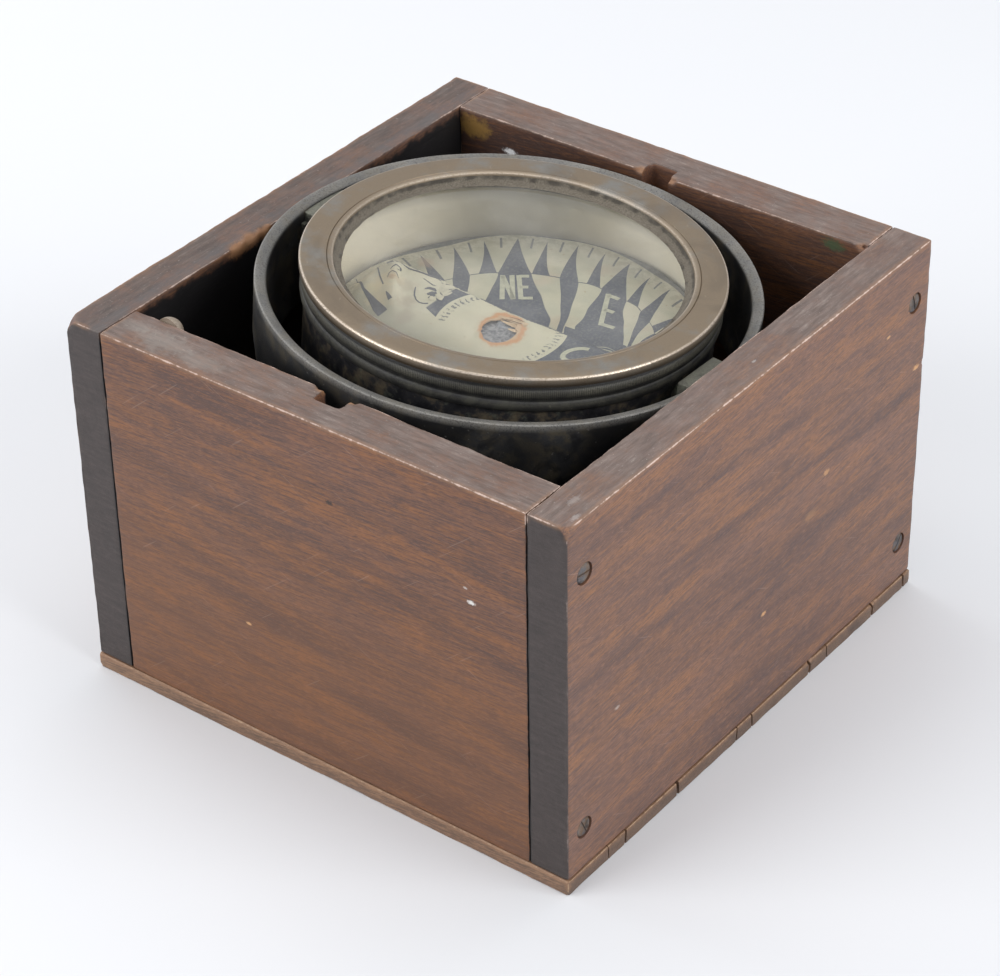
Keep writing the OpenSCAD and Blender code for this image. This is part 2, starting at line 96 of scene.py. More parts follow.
def placed(spot: Sequence[float], degrees: float = 0.0, axis: str = "X") -> Matrix:
    """Return a place at a spot in millimetres, turned about one axis."""
    return Matrix.Translation(Vector(spot) * MM) @ Matrix.Rotation(math.radians(degrees), 4, axis)


def finish_with(piece: bpy.types.Object, kind: str, **settings: object) -> None:
    """Add a modifier to a piece and apply it.

    Args:
        piece: the piece to change.
        kind: the modifier's type, such as "BEVEL".
        settings: values for the modifier's own properties.
    """
    take(piece)
    modifier = piece.modifiers.new(kind.title(), kind)
    for key, value in settings.items():
        setattr(modifier, key, value)
    bpy.ops.object.modifier_apply(modifier=modifier.name)


def set_place(piece: bpy.types.Object, place: Matrix | None = None) -> None:
    """Move a piece's place into its mesh, so that its object stays at the origin.

    Args:
        piece: the piece to settle.
        place: a further move of its mesh, if any.
    """
    take(piece)
    bpy.ops.object.transform_apply(location=True, rotation=True, scale=True)
    if place is not None:
        piece.data.transform(place)
        piece.data.update()


def points_of(piece: bpy.types.Object) -> np.ndarray:
    """Return a piece's vertices as rows of x, y, z in millimetres."""
    flat = np.empty(len(piece.data.vertices) * 3, np.float32)
    piece.data.vertices.foreach_get("co", flat)
    return flat.reshape(-1, 3).astype(float) / MM


def lathe_points(piece: bpy.types.Object) -> tuple[np.ndarray, np.ndarray]:
    """Return the vertices of a piece that was turned, and how far each is from the lathe's axis."""
    points = points_of(piece)
    return points, np.hypot(points[:, 0], points[:, 1])


def put_points(piece: bpy.types.Object, points: np.ndarray) -> None:
    """Write a piece's vertices back from rows in millimetres."""
    piece.data.vertices.foreach_set("co", (points * MM).astype(np.float32).ravel())
    piece.data.update()


def note(piece: bpy.types.Object, name: str, values: np.ndarray, domain: str = "POINT") -> None:
    """Store one number for each vertex or face, for the piece's finish to read.

    Args:
        piece: the piece to mark.
        name: the attribute's name.
        values: the numbers, in the mesh's own order.
        domain: "POINT" or "FACE".
    """
    layer = piece.data.attributes.get(name) or piece.data.attributes.new(name, "FLOAT", domain)
    layer.data.foreach_set("value", values.astype(np.float32))


def smooth(low: float, high: float, value: np.ndarray) -> np.ndarray:
    """Ease from 0 at low to 1 at high."""
    share = np.clip((value - low) / (high - low), 0, 1)
    return share * share * (3 - 2 * share)


def scramble(cells: np.ndarray) -> np.ndarray:
    """Return a fixed number from -1 to 1 for each row of whole numbers."""
    mixed = (cells[:, 0] * 73856093) ^ (cells[:, 1] * 19349663) ^ (cells[:, 2] * 83492791)
    mixed = (mixed & 0x7FFFFFFF) * 1103515245 + 12345
    mixed = ((mixed >> 7) ^ mixed) & 0xFFFFFF
    return mixed / 0x7FFFFF - 1


def cloud(points: np.ndarray, grain: float | Sequence[float], seed: int = 0) -> np.ndarray:
    """Return smooth noise from -1 to 1 at each point.

    Args:
        points: rows of x, y, z in millimetres.
        grain: size of the lumps in millimetres, one number or one for each axis.
        seed: chooses another pattern.

    Returns:
        One number for each row.
    """
    spot = points / np.asarray(grain, float) + 31.7 * seed + 1000.5
    cell = np.floor(spot).astype(np.int64)
    part = spot - cell
    part = part * part * (3 - 2 * part)
    total = np.zeros(len(points))
    for corner in itertools.product((0, 1), repeat=3):
        share = np.prod(np.where(np.array(corner) == 1, part, 1 - part), axis=1)
        total += share * scramble(cell + np.array(corner))
    return total


def arc(middle: Point, size: Point, angles: Iterable[float]) -> list[Point]:
    """Return points round an ellipse, at angles in degrees."""
    return [(middle[0] + size[0] * math.cos(math.radians(a)), middle[1] + size[1] * math.sin(math.radians(a)))
            for a in angles]


def soft_corners(outline: Sequence[Point], radius: float, steps: int = 3) -> list[Point]:
    """Round the corners of a closed outline.

    Args:
        outline: the corners in order.
        radius: how far along each side a round starts, in the outline's unit.
        steps: points in each round, less one.

    Returns:
        The rounded outline.
    """
    rounded: list[Point] = []
    for i, corner in enumerate(outline):
        here = np.array(corner, float)
        before = np.array(outline[i - 1], float) - here
        after = np.array(outline[(i + 1) % len(outline)], float) - here
        sides = ((side, np.linalg.norm(side)) for side in (before, after))
        back, ahead = (side * min(radius, size * 0.45) / size for side, size in sides)
        rounded += [tuple(here + back * (1 - t) ** 2 + ahead * t**2) for t in (k / steps for k in range(steps + 1))]
    return rounded


def refine(outline: Sequence[Point], longest: float) -> list[Point]:
    """Return a closed outline with its long sides split."""
    fine: list[Point] = []
    for i, start in enumerate(outline):
        end = outline[(i + 1) % len(outline)]
        count = max(1, math.ceil(math.dist(start, end) / longest))
        fine += [(start[0] + (end[0] - start[0]) * k / count, start[1] + (end[1] - start[1]) * k / count)
                 for k in range(count)]
    return fine


def outline_of(name: str, profile: Sequence[Point], closed: bool) -> bpy.types.Object:
    """Start a piece as an outline in the XZ plane, from radius and height in millimetres.

    Args:
        name: the piece's name.
        profile: the outline's points.
        closed: False leaves it open between its last and first point.

    Returns:
        The outline, of edges only.
    """
    let_go()
    bpy.ops.mesh.primitive_circle_add(vertices=len(profile), fill_type="NOTHING")
    piece = named(name)
    for vertex, (radius, height) in zip(piece.data.vertices, profile):
        vertex.co = (radius * MM, 0, height * MM)
    if not closed:
        bpy.ops.object.mode_set(mode="EDIT")
        bpy.ops.mesh.select_mode(type="EDGE")
        bpy.ops.mesh.select_all(action="DESELECT")
        bpy.ops.object.mode_set(mode="OBJECT")
        ends = {0, len(profile) - 1}
        for edge in piece.data.edges:
            edge.select = set(edge.vertices) == ends
        bpy.ops.object.mode_set(mode="EDIT")
        bpy.ops.mesh.delete(type="EDGE")
        bpy.ops.mesh.select_mode(type="VERT")
        bpy.ops.object.mode_set(mode="OBJECT")
    return piece


def turned(name: str, profile: Sequence[Point], steps: int = 256, closed: bool = True) -> bpy.types.Object:
    """Turn a profile about the vertical axis, as on a lathe.

    Args:
        name: the piece's name.
        profile: radius and height of each point in millimetres, counted round a closed section.
        steps: sides of the turned shape.
        closed: False for a section that is open where it meets the axis.

    Returns:
        The piece, with its mesh still about the origin.
    """
    piece = outline_of(name, profile, closed)
    bpy.ops.object.mode_set(mode="EDIT")
    bpy.ops.mesh.select_all(action="SELECT")
    bpy.ops.mesh.spin(steps=steps, angle=2 * math.pi, center=(0, 0, 0), axis=(0, 0, 1))
    bpy.ops.mesh.select_all(action="SELECT")
    bpy.ops.mesh.remove_doubles(threshold=2e-6)
    bpy.ops.mesh.normals_make_consistent(inside=False)
    let_go()
    return piece


def block(name: str, low: Sequence[float], high: Sequence[float]) -> bpy.types.Object:
    """Start a piece from a cube between two corners in millimetres."""
    let_go()
    centre = [(a + b) / 2 * MM for a, b in zip(low, high)]
    bpy.ops.mesh.primitive_cube_add(size=1, location=centre, scale=[(b - a) * MM for a, b in zip(low, high)])
    piece = named(name)
    set_place(piece)
    return piece


def rod(name: str, radius: float, length: float, place: Matrix) -> bpy.types.Object:
    """Start a round piece along its own Z axis, of sizes in millimetres, and set its place."""
    let_go()
    bpy.ops.mesh.primitive_cylinder_add(vertices=ROD_SIDES, radius=radius * MM, depth=length * MM)
    piece = named(name)
    set_place(piece, place)
    return piece


def cut_away(piece: bpy.types.Object, tools: Iterable[bpy.types.Object], solver: str = "EXACT") -> None:
    """Cut pieces out of another and throw them away."""
    for tool in tools:
        finish_with(piece, "BOOLEAN", operation="DIFFERENCE", solver=solver, object=tool)
        bpy.data.objects.remove(tool, do_unlink=True)


def join(pieces: Sequence[bpy.types.Object], name: str) -> bpy.types.Object:
    """Join pieces into one and name it."""
    let_go()
    for piece in pieces:
        piece.select_set(True)
    bpy.context.view_layer.objects.active = pieces[0]
    bpy.ops.object.join()
    return named(name)


def face_up(piece: bpy.types.Object) -> None:
    """Flip a sheet that looks down."""
    if sum(face.normal.z for face in piece.data.polygons) < 0:
        piece.data.flip_normals()


def round_off(piece: bpy.types.Object, degrees: float) -> None:
    """Shade a piece smooth except over its sharp edges."""
    take(piece)
    bpy.ops.object.shade_smooth_by_angle(angle=math.radians(degrees))


def hand_over(piece: bpy.types.Object, body: str, slot: str, finish: bpy.types.Material, *nodes: str) -> None:
    """Give a finished piece its material, its body and the CAD nodes that it stands for.

    Args:
        piece: the finished piece.
        body: the CAD body that it rides on.
        slot: the record's material slot; not used.
        finish: its material.
        nodes: the CAD nodes that it replaces.
    """
    piece.data.materials.clear()
    piece.data.materials.append(finish)
    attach(piece, body)
    if nodes:
        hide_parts(*nodes)
    LOG.info("%s rides on %s with %d faces", piece.name, body, len(piece.data.polygons))


# ---- Finishes ----------------------------------------------------------------------------------


class Graph:
    """Lays out the nodes of one material or of the world."""

    def __init__(self, name: str, world: bool = False) -> None:
        """Start an empty material, or an empty world, of that name."""
        self.owner = bpy.data.worlds.new(name) if world else bpy.data.materials.new(name)
        self.owner.use_nodes = True
        self.tree = self.owner.node_tree
        self.tree.nodes.clear()

    def add(self, kind: str, inputs: dict[str | int, object] | None = None, **settings: object) -> bpy.types.Node:
        """Add a shader node, set its properties and feed its inputs."""
        made = self.tree.nodes.new(f"ShaderNode{kind}")
        for key, value in settings.items():
            setattr(made, key, value)
        for key, value in (inputs or {}).items():
            self.feed(made.inputs[key], value)
        return made

    def feed(self, socket: Socket, value: object) -> None:
        """Link a socket to another, or set its plain value."""
        if isinstance(value, bpy.types.NodeSocket):
            self.tree.links.new(value, socket)
        elif socket.type == "RGBA":
            socket.default_value = (*value, 1)
        else:
            socket.default_value = value

    def math(self, operation: str, a: object, b: object = 0.0, c: object = 0.0, clamp: bool = False) -> Socket:
        """Return the result of a math node."""
        return self.add("Math", {0: a, 1: b, 2: c}, operation=operation, use_clamp=clamp).outputs[0]

    def times(self, *factors: object, clamp: bool = False) -> Socket:
        """Return the product of two or more numbers."""
        return functools.reduce(lambda a, b: self.math("MULTIPLY", a, b, clamp=clamp), factors)

    def most(self, *values: object) -> Socket:
        """Return the largest of two or more numbers."""
        return functools.reduce(lambda a, b: self.math("MAXIMUM", a, b), values)

    def plus(self, a: object, b: object, clamp: bool = False) -> Socket:
        """Return the sum of two numbers."""
        return self.math("ADD", a, b, clamp=clamp)

    def minus(self, a: object, b: object) -> Socket:
        """Return a less b."""
        return self.math("SUBTRACT", a, b)

    def flip(self, value: object) -> Socket:
        """Return 1 less a number."""
        return self.minus(1.0, value)

    def gap(self, a: object, b: object) -> Socket:
        """Return how far two numbers are apart."""
        return self.math("ABSOLUTE", self.minus(a, b))

    def ragged(self, value: object, noise: Socket, spread: float) -> Socket:
        """Return a number with a noise of 0 to 1 laid evenly about it, over a spread."""
        return self.plus(value, self.math("MULTIPLY_ADD", noise, spread, -spread / 2))

    def mix(self, share: object, low: object, high: object) -> Socket:
        """Return a colour between two others."""
        return self.add("Mix", {0: share, 6: low, 7: high}, data_type="RGBA").outputs[2]

    def layers(self, colour: object, *coats: tuple[object, object]) -> Socket:
        """Return a colour under coats of others, each given as its share and its colour."""
        return functools.reduce(lambda under, coat: self.mix(coat[0], under, coat[1]), coats, colour)

    def blend(self, share: object, low: object, high: object) -> Socket:
        """Return a number between two others."""
        return self.add("Mix", {0: share, 2: low, 3: high}, data_type="FLOAT").outputs[0]

    def step(self, value: object, low: float, high: float, out_low: float = 0.0, out_high: float = 1.0) -> Socket:
        """Return value eased from out_low at low to out_high at high."""
        ends = {"Value": value, "From Min": low, "From Max": high, "To Min": out_low, "To Max": out_high}
        return self.add("MapRange", ends, interpolation_type="SMOOTHSTEP").outputs[0]

    def ramp(self, share: object, stops: Sequence[tuple[float, Colour]]) -> Socket:
        """Return a colour along a row of stops."""
        made = self.add("ValToRGB", {0: share})
        bar = made.color_ramp
        while len(bar.elements) < len(stops):
            bar.elements.new(0.5)
        for element, (place, colour) in zip(bar.elements, stops):
            element.position = place
            element.color = (*colour, 1)
        return made.outputs[0]

    def coordinates(self, scale: Sequence[float] = (1, 1, 1), turn: Sequence[float] = (0, 0, 0),
                    shift: Sequence[float] = (0, 0, 0)) -> Socket:
        """Return Object coordinates for a pattern that is moved and turned.

        Args:
            scale: how many of the pattern's lumps go to a millimetre along each of its axes.
            turn: the pattern's turn in degrees.
            shift: move in millimetres.

        Returns:
            The vector socket.
        """
        place = {"Vector": self.add("TexCoord").outputs["Object"], "Scale": [MM / s for s in scale],
                 "Rotation": [math.radians(t) for t in turn], "Location": [s * MM for s in shift]}
        return self.add("Mapping", place, vector_type="TEXTURE").outputs[0]

    def speckle(self, spot: Socket, scale: float, detail: float = 3, rough: float = 0.55, bend: float = 0.0) -> Socket:
        """Return a noise texture's factor."""
        look = {"Vector": spot, "Scale": scale, "Detail": detail, "Roughness": rough, "Distortion": bend}
        return self.add("TexNoise", look).outputs[0]

    def parts(self, spot: Socket) -> Sequence[Socket]:
        """Return the three numbers of a vector."""
        return self.add("SeparateXYZ", {0: spot}).outputs

    def length(self, spot: Socket) -> Socket:
        """Return the length of a vector."""
        return self.add("VectorMath", {0: spot}, operation="LENGTH").outputs["Value"]

    def mark(self, name: str) -> Socket:
        """Return a number that the piece's mesh carries."""
        return self.add("Attribute", attribute_name=name).outputs["Fac"]

    @staticmethod
    def shade(colour: Colour, factor: float) -> Colour:
        """Return a colour made lighter or darker."""
        return tuple(min(1.0, part * factor) for part in colour)

    def bump(self, height: Socket, depth: float, strength: float = 1.0, under: Socket | None = None) -> Socket:
        """Return a normal from a height of 0 to 1 that is depth millimetres tall."""
        made = self.add("Bump", {"Strength": strength, "Distance": depth * MM, "Height": height})
        if under is not None:
            self.feed(made.inputs["Normal"], under)
        return made.outputs[0]

    def surface(self, colour: object, rough: object, metal: float = 0.0, normal: Socket | None = None,
                **plain: float) -> bpy.types.Material:
        """Close the material with a Principled shader.

        Args:
            colour: base colour or its socket.
            rough: roughness or its socket.
            metal: how metallic it is.
            normal: bumped normal, if any.
            plain: further inputs of the shader by name, with _ for a space.

        Returns:
            The finished material.
        """
        look = {"Base Color": colour, "Roughness": rough, "Metallic": metal}
        look |= {key.replace("_", " "): value for key, value in plain.items()}
        if normal is not None:
            look["Normal"] = normal
        return self.close(self.add("BsdfPrincipled", look))

    def merge(self, share: Socket, first: bpy.types.Node, second: bpy.types.Node) -> bpy.types.Node:
        """Add a mix of two shaders."""
        return self.add("MixShader", {0: share, 1: first.outputs[0], 2: second.outputs[0]})

    def close(self, shader: bpy.types.Node, output: str = "OutputMaterial") -> bpy.types.Material | bpy.types.World:
        """Link a shader to the output and return the finished material or world."""
        self.add(output, {"Surface": shader.outputs[0]})
        return self.owner


class Grain(Enum):
    """Direction of a board's grain."""

    LEFT_RIGHT = (0, 1, 1)
    FRONT_BACK = (1, 0, 1)


@dataclass(frozen=True)
class Spot:
    """A small stain, nick or painted speck of light at a place of the frame, in millimetres."""

    x: float
    y: float
    z: float
    size: float
    colour: Colour
    strength: float = 0.9


@dataclass(frozen=True)
class Mahogany:
    """Worn, once varnished mahogany of a board between two corners.

    It reads two marks of the board's mesh: wear (how much its edges are rubbed there) and raw (fresh wood in
    chips). The inner face and the end grain are found from the board's own corners. The glow is the share of
    red that the wood takes on towards its foot.
    """

    name: str
    grain: Grain
    light: Colour = (0.285, 0.13, 0.058)
    middle: Colour = (0.192, 0.1, 0.067)
    dark: Colour = (0.09, 0.056, 0.051)
    worn: Colour = (0.7, 0.53, 0.45)
    fresh: Colour = (0.36, 0.19, 0.095)
    # Grey of the walls' tops: scuffs, and also painted sheen.
    scuff_and_sheen: Colour = (0.158, 0.119, 0.102)
    end: Colour = (0.048, 0.0365, 0.0335)
    black: Colour = (0.008, 0.008, 0.009)
    red: Colour = (0.2, 0.078, 0.022)
    slope: float = 4.0
    glow: float = 0.0
    seed: float = 0.0
    spots: Sequence[Spot] = ()

    def along(self, graph: Graph, long: float, cross: float, seed: float = 0.0, slope: float | None = None) -> Socket:
        """Return coordinates stretched along the grain.

        Args:
            graph: the material's graph.
            long: length of the features in millimetres.
            cross: their width.
            seed: chooses another part of the pattern.
            slope: the grain's slope in degrees, if not the wood's own.

        Returns:
            The vector socket.
        """
        scale = [1 / cross if across else 1 / long for across in self.grain.value]
        angle = self.slope if slope is None else slope
        turn = (0, angle, 0) if self.grain is Grain.LEFT_RIGHT else (-angle, 0, 0)
        return graph.coordinates(scale, turn, (90 * (self.seed + seed), 70 * (self.seed - seed), 150 * seed))

    def build(self, board: Board) -> bpy.types.Material:
        """Return the wood's material for a board."""
        g = Graph(f"{board.name}_finish")
        place = g.parts(g.coordinates())
        depth = [g.minus(float(board.half[k]), g.gap(place[k], float(board.centre[k]))) for k in range(3)]
        fibre = g.speckle(self.along(g, 9, 0.45, 7, self.slope - 8), 1, 3, 0.7)
        pore = g.speckle(self.along(g, 3.5, 0.3, 11, self.slope - 8), 1, 1, 0.5)
        colour = self.figure(g, fibre, pore)
        colour = g.mix(g.step(place[2], 25, 105, self.glow, 0), colour, self.red)
        colour = self.ends(g, colour, depth, board)
        colour = self.lid(g, colour, place, board)
        if board.seam_axis >= 0:
            seam = g.ragged(depth[board.seam_axis], g.speckle(g.coordinates(), 0.25, 4, 0.65), 1.2)
            colour = g.mix(g.step(seam, 0.2, 0.55, 0.95, 0), colour, self.black)
        # Painted shade on the inner face, deeper inside the box.
        colour = self.painted_shade(g, colour, place, board)
        for spot in self.spots:
            colour = self.stain(g, colour, spot)
        colour, line = self.edges(g, colour, depth)
        rough = g.plus(g.blend(fibre, 0.42, 0.6), g.times(line, 0.15), clamp=True)
        normal = g.bump(g.minus(fibre, g.step(pore, 0.58, 0.7, 0, 0.6)), 0.1, 0.5)
        normal = g.bump(g.speckle(self.along(g, 60, 3.5, 3), 1, 3, 0.6), 0.4, 0.35, normal)
        return g.surface(colour, rough, 0, normal, Specular_IOR_Level=0.45)

    def figure(self, g: Graph, fibre: Socket, pore: Socket) -> Socket:
        """Return the colour of the wood's long grain."""
        broad = g.speckle(self.along(g, 110, 13), 1, 3, 0.5, 0.2)
        streak = g.speckle(self.along(g, 55, 4.0, 3), 1, 4, 0.6, 0.3)
        band = g.speckle(self.along(g, 120, 13, 5), 1, 4, 0.6, 0.25)
        warm = g.speckle(self.along(g, 48, 8, 9), 1, 5, 0.7, 0.2)
        grit = g.speckle(self.along(g, 2.2, 0.5, 15, self.slope - 8), 1, 3, 0.75)
        tone = g.math("MULTIPLY_ADD", streak, 0.5, g.times(broad, 0.5))
        stops = ((0.36, 0.8), (0.5, 1.0), (0.64, 1.22))
        colour = g.ramp(tone, [(at, g.shade(self.middle, factor)) for at, factor in stops])
        return g.layers(colour, (g.step(warm, 0.45, 0.63, 0, 0.75), self.light),
                        (g.step(band, 0.5, 0.66, 0, 0.75), self.dark), (g.step(fibre, 0.36, 0.56, 0.75, 0), self.dark),
                        (g.step(fibre, 0.52, 0.68, 0, 0.55), self.light), (g.step(grit, 0.32, 0.5, 0.55, 0), self.dark),
                        (g.step(grit, 0.52, 0.7, 0, 0.45), g.shade(self.middle, 1.7)),
                        (g.step(pore, 0.62, 0.7, 0, 0.4), (0.05, 0.03, 0.026)),
                        (g.times(self.scratches(g), 0.1), self.worn))

    def scratches(self, g: Graph) -> Socket:
        """Return a mask of a few fine scratches that lie in the board's faces."""
        return g.most(*(g.step(g.speckle(self.along(g, 16, 0.45, seed, angle), 1, 0, 0.5), 0.81, 0.86)
                        for seed, angle in ((20, 28), (25, -40))))

    def edges(self, g: Graph, colour: Socket, depth: Sequence[Socket]) -> tuple[Socket, Socket]:
        """Return the colour with rubbed edges and raw chips, and the mask of the rubbed line."""
        nearest = g.math("MINIMUM", depth[0], depth[1])
        second = g.most(nearest, g.math("MINIMUM", g.most(depth[0], depth[1]), depth[2]))
        rub_and_highlight = g.speckle(g.coordinates(), 0.5, 4, 0.65)
        wear = g.ragged(g.mark("wear"), g.speckle(g.coordinates(), 0.05, 3, 0.6), 1.2)
        reach = g.ragged(second, rub_and_highlight, 1.2)
        halo = g.times(g.step(reach, 0.3, 1.8, 0.35, 0), g.step(wear, 0.1, 0.9))
        line = g.times(g.step(reach, 0.15, 0.5, 1, 0), g.step(wear, 0.1, 0.5))
        raw = g.times(g.mark("raw"), g.step(rub_and_highlight, 0.25, 0.5), clamp=True)
        return g.layers(colour, (halo, self.fresh), (g.times(line, 0.9), self.worn), (raw, self.fresh)), line

    def ends(self, g: Graph, colour: Socket, depth: Sequence[Socket], board: Board) -> Socket:
        """Return the colour with end grain on the faces across the grain."""
        if board.butt_axis < 0:
            return colour
        saw = g.speckle(g.coordinates((0.12, 0.12, 0.9)), 1, 3, 0.6)
        ring = g.speckle(g.coordinates((0.3, 0.3, 0.3)), 1, 4, 0.6, 1.5)
        tone = g.ramp(g.math("MULTIPLY_ADD", saw, 0.6, g.times(ring, 0.4)),
                      [(0.36, g.shade(self.end, 0.75)), (0.52, self.end), (0.68, g.shade(self.end, 1.35))])
        return g.mix(g.step(depth[board.butt_axis], 0.25, 0.7, board.butt_share, 0), colour, tone)

    def lid(self, g: Graph, colour: Socket, place: Sequence[Socket], board: Board) -> Socket:
        """Return the colour of the walls' tops: a scuffed grey that also stands for painted sheen on the top faces."""
        if not board.scuff_and_sheen_top:
            return colour
        scuff = g.speckle(self.along(g, 12, 1.4, 2), 1, 4, 0.7)
        wipe = g.speckle(g.coordinates(), 0.09, 4, 0.65)
        top = float(board.high[2])
        # Scuffs and painted sheen: the top faces turn grey and lighter.
        share = g.times(g.step(place[2], top - 0.7, top - 0.3), g.step(wipe, 0.3, 0.62, 0.4, 0.9))
        tone = g.ramp(scuff, [(at, g.shade(self.scuff_and_sheen, factor * board.lid_tone))
                              for at, factor in ((0.34, 0.65), (0.5, 1.0), (0.72, 1.5))])
        pale = g.times(g.step(wipe, 0.55, 0.7), g.step(scuff, 0.5, 0.68, 0, 0.45))
        tone = g.mix(pale, tone, g.shade((0.36, 0.335, 0.3), board.lid_tone))
        fleck = g.speckle(self.along(g, 1.1, 0.5, 6), 1, 2, 0.6)
        tone = g.mix(g.step(fleck, 0.66, 0.72, 0, 0.5), tone, (0.42, 0.37, 0.33))
        if board.lid_tone < 1:
            inward = g.gap(place[board.inner_axis], board.inner_line)
            strip = g.ragged(inward, g.speckle(g.coordinates(), 0.12, 3, 0.6), 4.0)
            tone = g.mix(g.step(strip, 3.4, 5.6, 0.55, 0), tone, (0.095, 0.092, 0.094))
        return g.mix(share, colour, tone)

    def painted_shade(self, g: Graph, colour: Socket, place: Sequence[Socket], board: Board) -> Socket:
        """Return the colour with painted shade on the board's inner face: black from a few millimetres under the top
        downwards.
        """
        if board.inner_axis < 0:
            return colour
        inward = g.gap(place[board.inner_axis], board.inner_line)
        level = g.ragged(place[2], g.speckle(g.coordinates(), 0.2, 4, 0.65), 8.0)
        top = float(board.high[2])
        # Painted shade: full from 4 mm under the top downwards, fading out at the top edge.
        share = g.times(g.step(inward, 0.3, 0.8, 1, 0), g.step(level, top - 4, top - 1, board.inner_shade_depth, 0.35 * board.inner_shade_depth),
                        g.step(place[2], top - 1.2, top - 0.3, 1, 0))
        return g.mix(share, colour, self.black)

    def stain(self, g: Graph, colour: Socket, spot: Spot) -> Socket:
        """Return the colour with one small ragged spot."""
        thin = (0.5, 1, 1) if self.grain is Grain.LEFT_RIGHT else (1, 0.5, 1)
        noise = g.speckle(g.coordinates(), 1.9 / max(spot.size, 0.6), 4, 0.75)
        away = g.length(g.coordinates(thin, shift=(spot.x, spot.y, spot.z)))
        reach = g.ragged(away, noise, spot.size * 1.6)
        return g.mix(g.step(reach, spot.size * 0.35, spot.size, spot.strength, 0), colour, spot.colour)


@dataclass(frozen=True)
class OldMetal:
    """Metal with patina in patches, brighter where it is rubbed and where highlights are painted, and darker where
    shade is painted.

    It reads three marks of a piece's mesh: rub_and_highlight, for rubs and painted highlights, dim, for painted shade,
    and, where it has strokes, knurl.
    """

    name: str
    base: Colour
    patina: Colour
    dark: Colour
    bright: Colour
    metal: float = 0.75
    rough: float = 0.45
    patch: float = 6.0
    patina_share: float = 0.5
    pit: float = 0.05
    scrapes: float = 0.35
    stains: float = 0.75
    strokes: float = 0.0

    def build(self) -> bpy.types.Material:
        """Return the metal's material."""
        g = Graph(self.name)
        spot = g.coordinates()
        broad = g.speckle(spot, 1 / self.patch, 5, 0.62)
        fine = g.speckle(spot, 2.2, 4, 0.7)
        stain = g.speckle(g.coordinates(shift=(40, 7, 3)), 0.6 / self.patch, 4, 0.6, 0.8)
        scrape = g.speckle(g.coordinates((0.9, 0.07, 0.9), (20, 30, 50)), 1, 1, 0.5)
        edge = 0.2 * self.patina_share
        # rubbed holds rubs, scrapes and painted highlights; dim, below, darkens by painted shade.
        rubbed = g.times(g.mark("rub_and_highlight"), g.step(fine, 0.3, 0.55), clamp=True)
        rubbed = g.most(rubbed, g.step(scrape, 0.72, 0.78, 0, self.scrapes))
        colour = g.layers(self.base, (g.step(broad, 0.5 - edge, 0.72 - edge), self.patina),
                          (g.step(stain, 0.5, 0.66, 0, self.stains), self.dark),
                          (g.times(g.mark("dim"), 0.9), g.shade(self.dark, 0.5)),
                          (g.step(fine, 0.45, 0.75, 0, 0.35), self.dark), (rubbed, self.bright))
        if self.strokes:
            place = g.parts(g.coordinates(shift=(0.9, 0.6, 0)))
            wave = g.math("SINE", g.times(g.math("ARCTAN2", place[1], place[0]), self.strokes))
            colour = g.mix(g.times(g.step(wave, -0.3, 0.6, 0, 0.6), g.mark("knurl")), colour, g.shade(self.dark, 0.7))
        rough = g.math("MULTIPLY_ADD", broad, 0.25, g.math("MULTIPLY_ADD", rubbed, -0.15, self.rough - 0.1), clamp=True)
        return g.surface(colour, rough, self.metal, g.bump(fine, self.pit, 0.8))


@dataclass(frozen=True)
class BowlWall:
    """Mottled brass outside and old cream paint inside, where the mesh is marked paint; the cream takes painted shade
    where the mesh is marked painted_shade.
    """

    name: str = "bowl_wall_finish"

    def build(self) -> bpy.types.Material:
        """Return the bowl wall's material."""
        g = Graph(self.name)
        spot = g.coordinates()
        broad = g.speckle(spot, 0.16, 5, 0.65)
        fine = g.speckle(spot, 1.4, 4, 0.7)
        green = g.speckle(g.coordinates(shift=(9, 31, 5)), 0.3, 4, 0.6)
        metal = g.ramp(broad, [(0.35, (0.011, 0.011, 0.014)), (0.5, (0.032, 0.031, 0.035)), (0.64, (0.15, 0.12, 0.08))])
        metal = g.layers(metal, (g.step(green, 0.58, 0.72, 0, 0.6), (0.14, 0.15, 0.115)),
                         (g.step(fine, 0.58, 0.75, 0, 0.5), (0.2, 0.17, 0.11)))
        cream = g.ramp(g.speckle(spot, 0.035, 4, 0.55),
                       [(0.35, (0.82, 0.74, 0.6)), (0.55, (0.9, 0.82, 0.67)), (0.7, (0.93, 0.87, 0.73))])
        # Painted shade on the cream: under the rim's lip and on the far wall.
        cream = g.layers(cream, (g.step(fine, 0.66, 0.72, 0, 0.6), (0.2, 0.17, 0.12)),
                         (g.mark("painted_shade"), (0.2, 0.185, 0.15)))
        paint = g.mark("paint")
        return g.surface(g.mix(paint, metal, cream), g.blend(paint, 0.5, 0.75), 0.15, g.bump(fine, 0.06, 0.7))


@dataclass(frozen=True)
class Putty:
    """Dry, dark and crumbling glazing putty."""

    name: str = "glazing_putty_finish"

    def build(self) -> bpy.types.Material:
        """Return the putty's material."""
        g = Graph(self.name)
        crumb = g.speckle(g.coordinates(), 2.4, 5, 0.75)
        colour = g.ramp(crumb, [(0.3, (0.07, 0.058, 0.046)), (0.46, (0.14, 0.12, 0.092)), (0.68, (0.23, 0.2, 0.155))])
        # Painted shade where the putty meets the bezel and at its foot.
        colour = g.mix(g.mark("dim"), colour, (0.03, 0.025, 0.02))
        return g.surface(colour, 0.85, 0, g.bump(crumb, 0.35))


